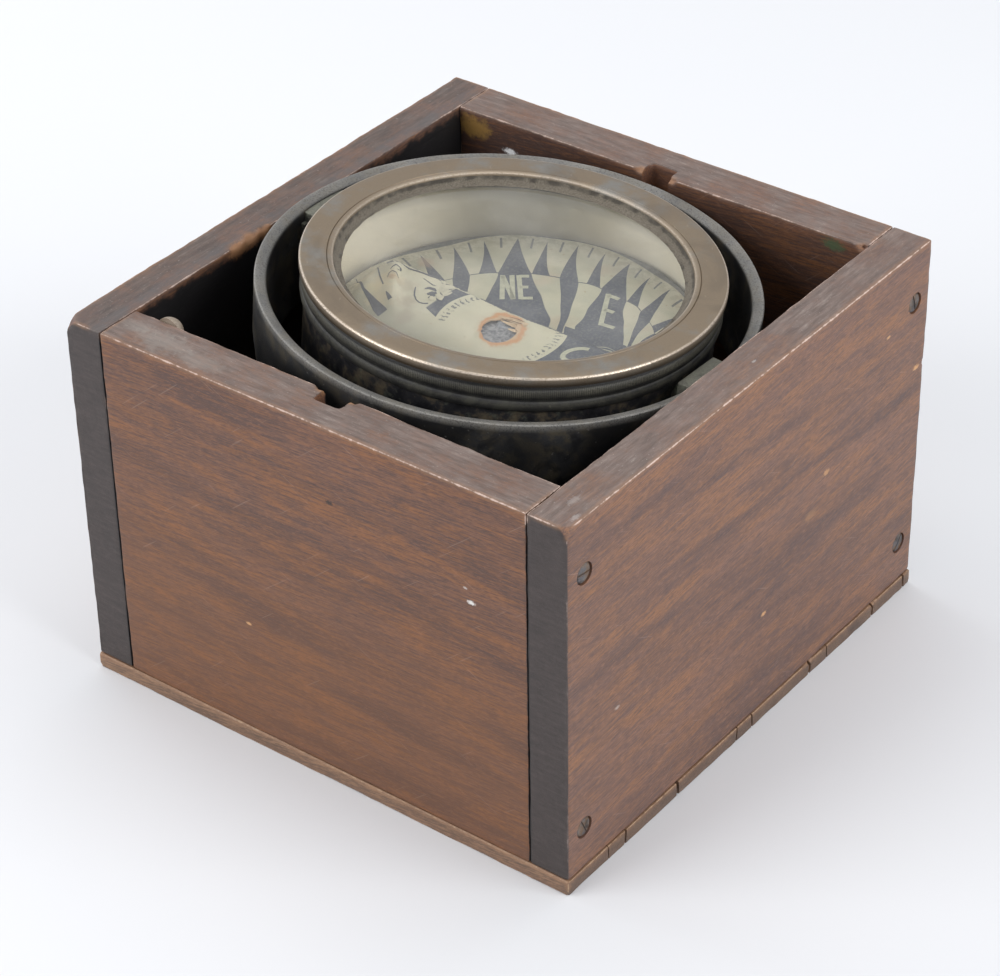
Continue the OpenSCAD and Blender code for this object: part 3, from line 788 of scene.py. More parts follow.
@dataclass(frozen=True)
class OldGlass:
    """Clear old glass with a haze of dust."""

    name: str = "cover_glass_finish"
    haze: float = 0.085

    def build(self) -> bpy.types.Material:
        """Return the glass's material."""
        g = Graph(self.name)
        spot = g.coordinates()
        smear = g.speckle(spot, 0.03, 4, 0.6)
        speck = g.speckle(spot, 0.9, 2, 0.6)
        outside = g.flip(g.add("NewGeometry").outputs["Backfacing"])
        mirror = g.times(g.add("Fresnel", {"IOR": 1.5}).outputs[0], outside)
        dusty = g.plus(g.step(smear, 0.35, 0.7, 0.4 * self.haze, 1.8 * self.haze), g.step(speck, 0.76, 0.8, 0, 0.25))
        clear = g.add("BsdfTransparent", {"Color": (0.99, 0.995, 0.98)})
        dust = g.add("BsdfDiffuse", {"Color": (0.8, 0.78, 0.72)})
        gloss = g.add("BsdfGlossy", {"Roughness": 0.03})
        return g.close(g.merge(mirror, g.merge(g.times(dusty, outside), clear, dust), gloss))


@dataclass(frozen=True)
class CardAxes:
    """The card's own axes in the frame: north and west from the point that carries it."""

    tip: tuple[float, float, float] = (0.55657, 0.31794, 109.45725)
    heading: float = 169.0

    def place(self, north: Number, west: Number) -> tuple[Number, Number]:
        """Return the frame's x and y of places on the card, in millimetres."""
        turn = math.radians(self.heading)
        return (self.tip[0] + north * math.cos(turn) - west * math.sin(turn),
                self.tip[1] + north * math.sin(turn) + west * math.cos(turn))


@dataclass(frozen=True)
class RosePaper:
    """Aged card paper with a printed rose of 32 points.

    The piece's UV map holds the print's own coordinates, and its mark near is 1 on the buckled half, where a
    round label covers the rose's middle. The stains_and_fold_light are stains and painted light and shade on the
    tube-like fold: north and west on the card, size, strength and colour.
    """

    name: str = "card_paper_finish"
    span: float = 120.0
    apex: float = 55.0
    belt: float = 34.6
    label: float = 20.3
    ink: Colour = (0.072, 0.08, 0.112)
    paper: Colour = (0.5, 0.47, 0.355)
    # The first four, cream, are painted light on the fold's left flank; the last three, brown, painted shade on its
    # right flank; the rest are rust and a stain.
    stains_and_fold_light: Sequence[tuple[float, float, float, float, Colour]] = (
        (47.5, 15.0, 4.5, 0.6, (0.74, 0.66, 0.48)), (40.5, 18.5, 4.0, 0.5, (0.72, 0.63, 0.42)),
        (39.5, 13.5, 6.0, 0.55, (0.72, 0.6, 0.4)), (34.5, 19.5, 6.0, 0.5, (0.7, 0.58, 0.4)),
        (38.0, 12.3, 2.4, 0.6, (0.44, 0.27, 0.17)), (47.0, -8.0, 4.5, 0.55, (0.52, 0.37, 0.26)),
        (33.5, 10.5, 4.5, 0.5, (0.42, 0.34, 0.25)), (28.0, 16.0, 4.5, 0.5, (0.4, 0.32, 0.25)),
        (23.5, 21.0, 4.5, 0.45, (0.38, 0.31, 0.25)))

    def build(self) -> bpy.types.Material:
        """Return the card's material."""
        g = Graph(self.name)
        print_at = g.parts(g.add("UVMap", uv_map="print").outputs[0])
        north, west = (g.times(g.minus(print_at[k], 0.5), self.span) for k in (0, 1))
        radius = g.math("SQRT", g.math("MULTIPLY_ADD", north, north, g.times(west, west)))
        angle = g.times(g.math("ARCTAN2", west, north), 180 / math.pi)
        near = g.mark("near")
        ink = self.torn(g, self.rose(g, radius, angle, near), (north, west, radius, angle, near))
        label = g.times(near, g.step(radius, self.label, self.label + 0.15, 1, 0))
        ink = g.plus(g.times(ink, g.flip(label)), g.times(label, self.label_marks(g, radius, angle)), clamp=True)
        worn = g.speckle(g.coordinates(), 1.3, 4, 0.7)
        ink = g.times(ink, g.step(worn, 0.3, 0.55, 0.78, 0.97))
        colour = self.rust_and_fold_light(g, g.mix(ink, self.aged(g, near, west, radius), self.ink), near)
        normal = g.bump(g.speckle(g.coordinates(), 1.8, 4, 0.6), 0.04, 0.6)
        normal = g.bump(g.speckle(g.coordinates(), 0.12, 3, 0.5), 0.5, 0.5, normal)
        return g.surface(colour, 0.7, 0, normal, Specular_IOR_Level=0.3)

    def torn(self, g: Graph, ink: Socket, place: Sequence[Socket]) -> Socket:
        """Return the rose's ink where the paper still shows it, and whole dark fields where rays run together.

        Args:
            g: the material's graph.
            ink: the rose's ink.
            place: north, west, radius and angle in the print, and the mark near.

        Returns:
            The ink's mask.
        """
        north, west, radius, angle, near = place
        far = g.flip(near)
        lean = g.math("MULTIPLY_ADD", g.minus(radius, self.label), 0.55, angle)
        faded = g.times(near, g.step(lean, 22.2, 22.8), g.step(angle, 66, 68, 1, 0))
        inside = g.step(radius, 34.3, 34.5, 1, 0)
        south = g.times(near, g.step(angle, -141, -139, 1, 0), inside)
        outer = g.times(g.step(angle, -134, -132, 1, 0), g.step(radius, 45, 46, 1, 0), g.step(angle, -178, -175))
        beyond = g.times(far, g.most(g.step(west, -0.9, -0.3), g.step(angle, -132, -130, 1, 0)), inside)
        core = g.times(far, g.step(angle, -73, -72, 1, 0), g.step(radius, 10.0, 10.2, 1, 0))
        ink = g.most(g.times(ink, g.flip(faded)), south, outer, beyond, core)
        field = g.times(g.step(north, 23.6, 24.4), g.step(g.math("ABSOLUTE", west), 12, 15, 1, 0), near,
                        g.step(radius, 44, 50, 1, 0))
        return g.times(ink, g.flip(field))

    @staticmethod
    def split(g: Graph, radius: Socket, off: Socket) -> tuple[Socket, Socket]:
        """Return how far a place lies along and across a line that is off degrees away from it."""
        turn = g.times(off, math.pi / 180)
        return g.times(radius, g.math("COSINE", turn)), g.times(radius, g.math("SINE", turn))

    def point(self, g: Graph, radius: Socket, off: Socket, half: float, high: float) -> Socket:
        """Return a mask of triangles that narrow from half a width at the belt to nothing at high.

        Args:
            g: the material's graph.
            radius: distance from the print's middle.
            off: angle from the triangle's own line, in degrees.
            half: half its width at the belt.
            high: radius of its tip.

        Returns:
            1 inside and 0 outside.
        """
        along, across = self.split(g, radius, off)
        room = g.times(g.minus(high, along), half / (high - self.belt))
        return g.step(g.minus(room, across), -0.06, 0.06)

    def rose(self, g: Graph, radius: Socket, angle: Socket, near: Socket) -> Socket:
        """Return the mask of the rose's ink."""
        main = g.math("PINGPONG", angle, 22.5)
        half = g.minus(22.5, main)
        by = g.gap(main, 11.25)
        quarter = g.minus(5.625, g.math("PINGPONG", angle, 5.625))
        outer = g.most(self.point(g, radius, main, 4.45, self.apex), self.point(g, radius, half, 2.5, self.apex),
                       self.point(g, radius, by, 2.1, self.apex - 0.5))
        along, across = self.split(g, radius, half)
        inner_end = g.blend(near, 1.0, self.label)
        reach = g.math("DIVIDE", g.minus(along, inner_end), g.minus(33.9, inner_end))
        wedge, kite = (g.step(g.minus(g.times(reach, wide), across), -0.06, 0.06) for wide in (9.1, 2.5))
        outside = g.step(radius, self.belt - 0.05, self.belt + 0.05)
        rays = g.blend(outside, g.most(g.flip(wedge), kite), outer)
        line = g.step(g.gap(radius, self.belt), 0.14, 0.3, 1, 0)
        width = self.split(g, radius, quarter)[1]
        tick = g.times(g.step(width, 0.3, 0.45, 0.8, 0), g.step(radius, 48.4, 49.4), g.step(radius, 55.3, 55.6, 1, 0))
        return g.most(rays, line, tick, g.step(radius, 56.75, 56.95, 0, 0.75))

    def label_marks(self, g: Graph, radius: Socket, angle: Socket) -> Socket:
        """Return a ring of small plain strokes along the label's edge."""
        broken = g.speckle(g.coordinates(), 0.9, 2, 0.5)
        bent = g.math("MULTIPLY_ADD", broken, 7.0, angle)
        stroke = g.step(g.math("PINGPONG", bent, 2.8), 0.8, 1.15, 0.8, 0)
        foot = g.math("MULTIPLY_ADD", broken, 2.6, radius)
        blank = g.times(g.step(angle, 23, 28), g.step(angle, 150, 160, 1, 0))
        return g.times(stroke, g.step(foot, 18.1, 18.4), g.step(foot, 20.3, 20.6, 1, 0), g.flip(blank),
                       g.step(broken, 0.36, 0.44))

    def aged(self, g: Graph, near: Socket, west: Socket, radius: Socket) -> Socket:
        """Return the bare paper's colour, with painted light on the buckled half and painted shade growing towards its
        low edge.
        """
        tint = g.speckle(g.coordinates(), 0.06, 4, 0.6, 0.4)
        base = g.ramp(tint, [(0.33, (0.42, 0.4, 0.31)), (0.5, self.paper), (0.68, (0.58, 0.53, 0.41))])
        pink = g.speckle(g.coordinates(shift=(50, 20, 9)), 0.05, 3, 0.6)
        frayed = g.speckle(g.coordinates(shift=(9, 9, 40)), 0.35, 4, 0.7)
        fox = g.speckle(g.coordinates(shift=(3, 60, 2)), 0.8, 2, 0.5)
        return g.layers(base, (g.step(pink, 0.52, 0.7, 0, 0.45), (0.5, 0.38, 0.28)),
                        # Painted light on the raised half, then painted shade towards its low edge.
                        (g.times(near, 0.45), (0.7, 0.64, 0.5)),
                        (g.times(near, g.step(west, 6, 24, 0, 0.85)), (0.26, 0.245, 0.19)),
                        (g.times(g.step(frayed, 0.42, 0.58), g.step(radius, 47, 54, 0, 0.6)), (0.72, 0.68, 0.56)),
                        (g.step(fox, 0.7, 0.76, 0, 0.5), (0.33, 0.2, 0.1)))

    def rust_and_fold_light(self, g: Graph, colour: Socket, near: Socket) -> Socket:
        """Return the colour with the rusty ring round the middle hole, the stains, and the painted light and shade of
        the fold.
        """
        axes = CardAxes()
        wave = g.speckle(g.coordinates(), 0.3, 4, 0.65)
        level = axes.tip[2] + 3
        away = g.length(g.coordinates((1 / 7.2, 1 / 9.3, 0.001), (0, 0, 37.7), (*axes.place(-2.2, 4.26), level)))
        reach = g.ragged(away, wave, 0.5)
        ring = g.times(g.step(reach, 0.7, 0.83), g.step(reach, 0.9, 1.06, 1, 0), 0.8)
        colour = g.layers(colour, (g.times(g.step(reach, 0.85, 1.3, 0.5, 0), near), (0.52, 0.42, 0.3)),
                          (g.times(g.step(reach, 0.75, 0.9, 0.75, 0), near), (0.56, 0.36, 0.22)),
                          (g.times(ring, near), (0.58, 0.27, 0.12)))
        # Stains, and painted light and shade on the fold.
        for north, west, size, strength, tone in self.stains_and_fold_light:
            away = g.length(g.coordinates((1, 1, 0.2), shift=(*axes.place(north, west), level)))
            colour = g.mix(g.step(g.ragged(away, wave, 1.6 * size), 0.3 * size, size, strength, 0), colour, tone)
        return colour


@dataclass(frozen=True)
class PlainFinish:
    """A quiet finish with fine specks, for small hidden pieces and printed marks."""

    name: str
    low: Colour
    high: Colour
    rough: float = 0.6
    metal: float = 0.0
    size: float = 1.5

    def build(self) -> bpy.types.Material:
        """Return the material."""
        g = Graph(self.name)
        fleck = g.speckle(g.coordinates(), 1 / self.size, 4, 0.65)
        colour = g.ramp(fleck, [(0.35, self.low), (0.65, self.high)])
        return g.surface(colour, self.rough, self.metal, g.bump(fleck, 0.03, 0.6))


# ---- The box -----------------------------------------------------------------------------------


@dataclass
class Board:
    """One board of the box, with worn edges.

    The corners come from its CAD node. The radius is that of its worn edges in millimetres, inner_axis and
    inner_side find its inner face, which takes painted shade as deep as inner_shade_depth, butt_axis its
    end grain, seam_axis the dark gaps at its two ends, and lid_tone makes its top darker. The chips are places
    with fresh wood and the rounds are corners worn round.
    """

    name: str
    node: str
    slot: str
    finish: Mahogany
    inner_axis: int = -1
    inner_side: int = 0
    inner_shade_depth: float = 0.9
    radius: float = 0.6
    butt_axis: int = -1
    butt_share: float = 1.0
    seam_axis: int = -1
    # The top takes the grey of scuffs and painted sheen.
    scuff_and_sheen_top: bool = True
    lid_tone: float = 1.0
    chips: Sequence[Ball] = ()
    rounds: Sequence[Ball] = ()
    voxel: float = 1.0
    low: np.ndarray = field(init=False)
    high: np.ndarray = field(init=False)
    centre: np.ndarray = field(init=False)
    half: np.ndarray = field(init=False)

    def __post_init__(self) -> None:
        """Read the board's corners from its CAD node."""
        self.low, self.high = (np.array(corner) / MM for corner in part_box(self.node))
        self.centre, self.half = (self.low + self.high) / 2, (self.high - self.low) / 2

    @property
    def inner_line(self) -> float:
        """Return where the board's inner face lies on its own axis."""
        return float((self.low if self.inner_side < 0 else self.high)[self.inner_axis])

    def build(self, cuts: Sequence[bpy.types.Object] = (),
              late_cuts: Callable[[], list[bpy.types.Object]] | None = None) -> None:
        """Model the board and put it on the box.

        Args:
            cuts: the pieces to cut away before the edges are worn.
            late_cuts: makes crisp pieces to cut away at the end.
        """
        piece = block(self.name, self.low, self.high)
        cut_away(piece, cuts)
        finish_with(piece, "REMESH", mode="VOXEL", voxel_size=self.voxel * MM, adaptivity=0.0)
        self.wear(piece)
        if late_cuts is not None:
            cut_away(piece, late_cuts(), "MANIFOLD")
        self.mark(piece)
        round_off(piece, 50)
        hand_over(piece, "box", self.slot, self.finish.build(self), self.node)

    @staticmethod
    def nearness(points: np.ndarray, places: Sequence[Ball], size: float = 1.0) -> np.ndarray:
        """Return how near each point is to one of some places, from 0 to 1, for places made size times larger."""
        total = np.zeros(len(points))
        for x, y, z, reach in places:
            gap = np.linalg.norm(points - np.array([x, y, z]), axis=1)
            total = np.maximum(total, 1 - smooth(0.35 * size * reach, size * reach, gap))
        return total

    def wear(self, piece: bpy.types.Object) -> None:
        """Square the edges, then round them by an uneven radius and make the faces slightly wavy."""
        points = points_of(piece)
        side = np.sign(points - self.centre)
        depth = self.half - np.abs(points - self.centre)
        depth = np.where(depth < 0.55 * self.voxel, 0.0, depth)
        radius = self.radius * (1 + 0.5 * cloud(points, 12, 1) + 0.5 * cloud(points, 3.5, 2))
        chipped = 3.4 * self.nearness(points, self.chips) * (0.8 + 0.5 * cloud(points, 2.2, 3))
        radius = np.clip(radius, 0.25, 2.0) + chipped + 2.6 * self.nearness(points, self.rounds)
        reach = np.clip(radius[:, None] - depth, 0, None)
        length = np.linalg.norm(reach, axis=1)
        share = np.where(length > radius, radius / np.maximum(length, 1e-9), 1.0)
        depth = np.where(reach > 0, radius[:, None] - reach * share[:, None], depth)
        points = self.centre + side * (self.half - depth)
        face = depth.argmin(axis=1)
        rows = np.arange(len(points))[depth.min(axis=1) < 0.4]
        wave = 0.07 * cloud(points, 22, 4) + 0.03 * cloud(points, 6, 5) - 0.1
        points[rows, face[rows]] += side[rows, face[rows]] * wave[rows]
        put_points(piece, points)

    def mark(self, piece: bpy.types.Object) -> None:
        """Store the marks that the finish reads."""
        points = points_of(piece)
        high = smooth(self.high[2] - 5, self.high[2] - 1.5, points[:, 2])
        outside = np.ones(len(points))
        if self.inner_axis >= 0:
            outside = smooth(2, 7, np.abs(points[:, self.inner_axis] - self.inner_line))
        note(piece, "wear", np.clip(0.05 + 0.3 * high + 0.65 * high * outside, 0, 1))
        note(piece, "raw", self.nearness(points, self.chips, 0.85))


@dataclass
class WoodenBox:
    """The open box: four walls, the base board and their iron fasteners."""

    top: float = 127.2
    outer_x: float = 90.0
    inner_x: float = 76.5
    front_y: float = -92.5
    inner_y: float = 76.7
    slot_r: float = 5.0
    slot_cut: float = 5.8
    pin_z: float = 114.4
    head_r: float = 4.0
    look_r: float = 3.15
    recess: float = 0.35
    screw_l: float = 36.0
    screw_r: float = 2.1
    crack_y: Sequence[float] = (-73.3, -64.7, -38.2, -7.0, 1.2, 33.6, 43.2, 70.2, 88.6)

    def build(self) -> None:
        """Make all of the box and put it on its body."""
        self.iron = OldMetal("old_iron_finish", (0.1, 0.095, 0.1), (0.14, 0.085, 0.05), (0.025, 0.02, 0.018),
                             (0.3, 0.28, 0.26), metal=0.2, rough=0.65, patch=2.4, pit=0.25).build()
        self.walls()
        self.base()
        self.screws()

    def side_spots(self) -> list[Spot]:
        """Return the nicks and stains of the left and right boards."""
        nick, pale = (0.6, 0.33, 0.15), (0.8, 0.78, 0.74)
        outer = [Spot(self.outer_x, *row) for row in (
            (6, 40, 0.9, nick), (38, 73, 1.2, nick, 0.6), (70, 104, 0.7, nick), (88, 84, 1.1, nick),
            (-69, 53, 0.8, pale, 0.3), (30, 62, 2.2, (0.33, 0.18, 0.09), 0.45))]
        raw = [Spot(-self.inner_x, *row, 0.85) for row in (
            (-31, 125.4, 3.2, (0.4, 0.2, 0.095)), (-25.5, 125.6, 3.0, (0.42, 0.22, 0.11)),
            (-19.5, 126.2, 2.6, (0.38, 0.19, 0.09)))]
        return outer + raw + [Spot(x, y, self.top, size, pale, strength) for x, y, size, strength in (
            (88, -86, 1.2, 0.2), (83, -80, 1.6, 0.15), (84, 5, 0.6, 0.3))]

    def end_spots(self) -> list[Spot]:
        """Return the nicks and stains of the front and back boards, and a painted speck of light on the back board's
        inner face.
        """
        nick, pale, ink, dusty = (0.6, 0.33, 0.15), (0.8, 0.78, 0.74), (0.02, 0.016, 0.016), (0.34, 0.315, 0.28)
        front = [Spot(x, self.front_y, *row) for x, *row in (
            (7.9, 102.3, 0.9, ink), (57.4, 89.4, 0.9, pale), (55.5, 93.6, 0.5, pale, 0.5), (-26, 45, 0.7, nick))]
        lid = [Spot(x, y, self.top, size, dusty, strength) for x, y, size, strength in (
            (-58, -85, 6.5, 0.3), (-42, -87, 5.0, 0.25), (-70, -83, 3.5, 0.25))]
        # The white spot at x -56.2 is painted light: light showing through a hole in the back board.
        return front + lid + [Spot(x, self.inner_y, *row) for x, *row in (
            (-71.5, 121.5, 5.0, (0.33, 0.19, 0.05), 0.8), (65.1, 124.2, 2.6, (0.07, 0.1, 0.05)),
            (-56.2, 116.9, 1.6, (1.0, 1.0, 1.0)))]

    def walls(self) -> None:
        """Model the four walls."""
        top, corner = self.top, (self.outer_x, self.front_y, self.top)
        side = Mahogany("side_wood", Grain.FRONT_BACK, seed=3.0, spots=self.side_spots())
        end = Mahogany("end_wood", Grain.LEFT_RIGHT, light=(0.26, 0.104, 0.036), middle=(0.163, 0.0765, 0.0455),
                       dark=(0.076, 0.043, 0.036), glow=0.32, seed=11.0, spots=self.end_spots())
        Board("wall_left", "left_board", "wall_wood", side, 0, 1, 0.99, butt_axis=1, lid_tone=0.55,
              chips=[(-self.inner_x, y, top, reach) for y, reach in ((-32, 3.4), (-25, 4.2), (-19, 3.0), (3, 2.4))],
              rounds=[(-corner[0], *corner[1:], 5.0)]).build(late_cuts=lambda: self.head_tools(-1))
        Board("wall_right", "right_board", "wall_wood", side, 0, -1, 0.92, butt_axis=1,
              chips=[(self.outer_x, 92.9, 84, 1.4)], rounds=[(*corner, 4.5)],
              ).build(late_cuts=lambda: self.head_tools(1))
        Board("wall_front", "front_board", "end_wood", end, 1, 1, 0.99, seam_axis=0,
              chips=[(-5.6, -77, top, 3.0), (5.6, -77.5, top, 2.2)]).build([self.slot_tool(-1)])
        Board("wall_back", "back_board", "end_wood", end, 1, -1, 0.3, seam_axis=0,
              chips=[(-5.6, 77, top, 2.8), (5.6, 77, top, 2.8), (75, 77, top, 2.6)]).build([self.slot_tool(1)])

    def slot_tool(self, facing: int) -> bpy.types.Object:
        """Return the round-bottomed cutter of a trunnion's slot in the front (-1) or back (1) board."""
        middle = facing * (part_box("back_board")[0][1] / MM + (self.slot_cut - 2) / 2)
        tool = rod("slot_tool", self.slot_r, self.slot_cut + 2, placed((0, middle, self.pin_z), 90))
        points = points_of(tool)
        points[points[:, 2] > self.pin_z + 0.01, 2] += 20
        put_points(tool, points)
        return tool

    def places(self, sign: int) -> list[Vector]:
        """Return the places of one side's four screw heads."""
        low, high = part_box("right_screws")
        across, tall = ((low[k] / MM + self.head_r, high[k] / MM - self.head_r) for k in (1, 2))
        return [Vector((sign * self.outer_x, y, z)) for y in across for z in tall]

    def head_tools(self, sign: int) -> list[bpy.types.Object]:
        """Return the cutters of one side's screw recesses."""
        return [rod("recess", self.look_r + self.recess, 2.4, placed(spot, 90, "Y")) for spot in self.places(sign)]

    def screws(self) -> None:
        """Turn a worn wood screw for each of the eight places, and cut its slot."""
        outline = [(0, 0.1), (self.look_r - 0.5, 0.0), (self.look_r, -0.35), (self.screw_r, -2.3),
                   (self.screw_r, 6 - self.screw_l), (0, -self.screw_l)]
        for sign, name, node in ((1, "screws_on_right", "right_screws"), (-1, "screws_on_left", "left_screws")):
            made = []
            for k, spot in enumerate(self.places(sign)):
                screw = turned("screw", outline, 48, closed=False)
                cut_away(screw, [block("gap", (-6, -0.28, -0.35), (6, 0.28, 2))])
                finish_with(screw, "BEVEL", width=0.12 * MM, segments=2, limit_method="ANGLE")
                sunk = spot - Vector((sign * self.recess, 0, 0))
                set_place(screw, placed(sunk, 90 * sign, "Y") @ placed((0, 0, 0), 25 + 57 * k * sign, "Z"))
                made.append(screw)
            piece = join(made, name)
            note(piece, "rub_and_highlight", 0.3 * smooth(-0.3, 0.5, cloud(points_of(piece), 2.5, 2)))
            round_off(piece, 40)
            hand_over(piece, "box", "old_iron", self.iron, node)

    def base(self) -> None:
        """Model the base board, split along its right edge."""
        wood = Mahogany("base_wood", Grain.LEFT_RIGHT, light=(0.32, 0.19, 0.11), middle=(0.235, 0.135, 0.083),
                        dark=(0.11, 0.07, 0.05), worn=(0.45, 0.3, 0.19), slope=0.5, seed=23.0)
        Board("base_panel", "base_board", "base_wood", wood, radius=0.5, butt_axis=0, butt_share=0.5, scuff_and_sheen_top=False,
              chips=[(self.outer_x, y, 5, 2.0) for y in (33.6, 70.2)]).build(late_cuts=self.crack_tools)

    def crack_tools(self) -> list[bpy.types.Object]:
        """Return thin wedges that split the base board's right edge."""
        tools = []
        for k, y in enumerate(self.crack_y):
            wide, deep = 0.32 + 0.22 * (k % 3), 3.0 + 2.5 * (k % 4)
            tool = block("crack", (self.outer_x + 0.4 - deep, y - wide, -2), (self.outer_x + 2, y + wide, 8))
            points = points_of(tool)
            tip = points[:, 0] < self.outer_x
            points[tip, 1] = y + (points[tip, 1] - y) * 0.1
            points[:, 1] += 0.25 * (points[:, 2] - 3) * (0.3 if k % 2 else -0.25)
            put_points(tool, points)
            tools.append(tool)
        return tools


# ---- Ring and bowl -----------------------------------------------------------------------------


@dataclass
class Gimbal:
    """Places of the ring and bowl frames at rest, and the ring itself."""

    pin_z: float = 114.4
    ring_float: float = 0.6
    heel: float = 4.0
    ring_pitch: float = -2.0
    pitch: float = -3.3
    bowl_float: float = 0.9
    in_r: float = 71.4
    out_r: float = 75.2
    above: float = 12.0
    below: float = 20.0
    foot_r: float = 73.48
    wall: float = 3.6
    knee_z: float = -6.0
    block_w: float = 9.0
    step_w: float = 11.0
    bore_r: float = 2.58

    def ring_place(self) -> Matrix:
        """Return the ring's own frame."""
        return placed((0, self.ring_float, self.pin_z), self.heel, "Y")

    def worn_place(self) -> Matrix:
        """Return the ring's frame with the small lean that its uneven slots give it."""
        return self.ring_place() @ placed((0, 0, 0), self.ring_pitch)

    def bowl_place(self) -> Matrix:
        """Return the bowl's own frame."""
        return self.ring_place() @ placed((0, 0, 0), self.pitch) @ placed((self.bowl_float, 0, 0))

    def build(self) -> None:
        """Make the ring and its fittings."""
        self.ring_metal = OldMetal("dark_brass_finish", (0.05, 0.05, 0.052), (0.1, 0.085, 0.06), (0.012, 0.012, 0.014),
                                   (0.245, 0.235, 0.215), metal=0.15, rough=0.55, patch=5.0, pit=0.09).build()
        self.brass = OldMetal("aged_brass_finish", (0.14, 0.125, 0.085), (0.1, 0.115, 0.08), (0.03, 0.028, 0.022),
                              (0.42, 0.36, 0.22), metal=0.6, rough=0.45, patch=3.0, pit=0.06).build()
        self.ring()
        self.blocks()

    def ring(self) -> None:
        """Turn the ring, wear its rims, and paint light on its top face and shade on its sides."""
        outline = [(self.foot_r - self.wall, -self.below), (self.foot_r, -self.below), (self.out_r, self.knee_z),
                   (self.out_r, self.above), (self.in_r, self.above - 1.2), (self.in_r, self.knee_z)]
        piece = turned("ring_wall", refine(soft_corners(outline, 0.9), 2.0), 288)
        points, radius = lathe_points(piece)
        swell = 0.1 * cloud(points, 26, 1) + 0.05 * cloud(points, 7, 2)
        points[:, :2] *= (1 + swell * 0.6 / radius)[:, None]
        points[:, 2] += np.where(points[:, 2] > 8, swell, 0) - 0.06
        # Painted light: the top face and its rims are lighter; the sides are darker by painted shade.
        top = smooth(self.above - 1.9, self.above - 0.9, points[:, 2])
        rims = np.exp(-np.abs(radius - self.out_r + 0.35) / 0.35) + np.exp(-np.abs(radius - self.in_r - 0.35) / 0.35)
        put_points(piece, points)
        note(piece, "rub_and_highlight", np.clip(top * (0.7 + 0.45 * rims) * (0.85 + 0.35 * cloud(points, 8, 5)), 0, 1))
        note(piece, "dim", (1 - top) * np.clip(0.6 + 0.9 * cloud(points, 9, 9), 0, 1))
        piece.data.transform(self.worn_place())
        round_off(piece, 40)
        hand_over(piece, "ring", "dark_brass", self.ring_metal, "gimbal_ring")

    def blocks(self) -> None:
        """Model the stepped block inside the ring, and once more half a turn round."""
        green = OldMetal("block_finish", (0.11, 0.105, 0.085), (0.14, 0.145, 0.11), (0.03, 0.03, 0.026),
                         (0.3, 0.29, 0.23), metal=0.3, rough=0.6, patch=2.0, pit=0.22).build()
        top, back = self.above - 1.8, self.in_r + 0.6
        for side, name, node in ((0, "block_right", "right_pivot_block"), (180, "block_left", "left_pivot_block")):
            body = block(name, (self.in_r - 5, -self.block_w, self.knee_z), (back, self.block_w, top))
            step = block("step", (self.in_r - 2.2, -self.step_w, self.knee_z), (back, self.step_w, top - 3))
            finish_with(body, "BOOLEAN", operation="UNION", solver="EXACT", object=step)
            bpy.data.objects.remove(step, do_unlink=True)
            cut_away(body, [rod("bore", self.bore_r, 30, placed((self.in_r, 0, 0), 90, "Y"))])
            finish_with(body, "BEVEL", width=0.5 * MM, segments=3, limit_method="ANGLE", angle_limit=math.radians(40))
            note(body, "rub_and_highlight", 0.4 * smooth(top - 1.2, top - 0.4, points_of(body)[:, 2]))
            body.data.transform(self.worn_place() @ placed((0, 0, 0), side, "Z"))
            round_off(body, 40)
            hand_over(body, "ring", "aged_brass", green, node)


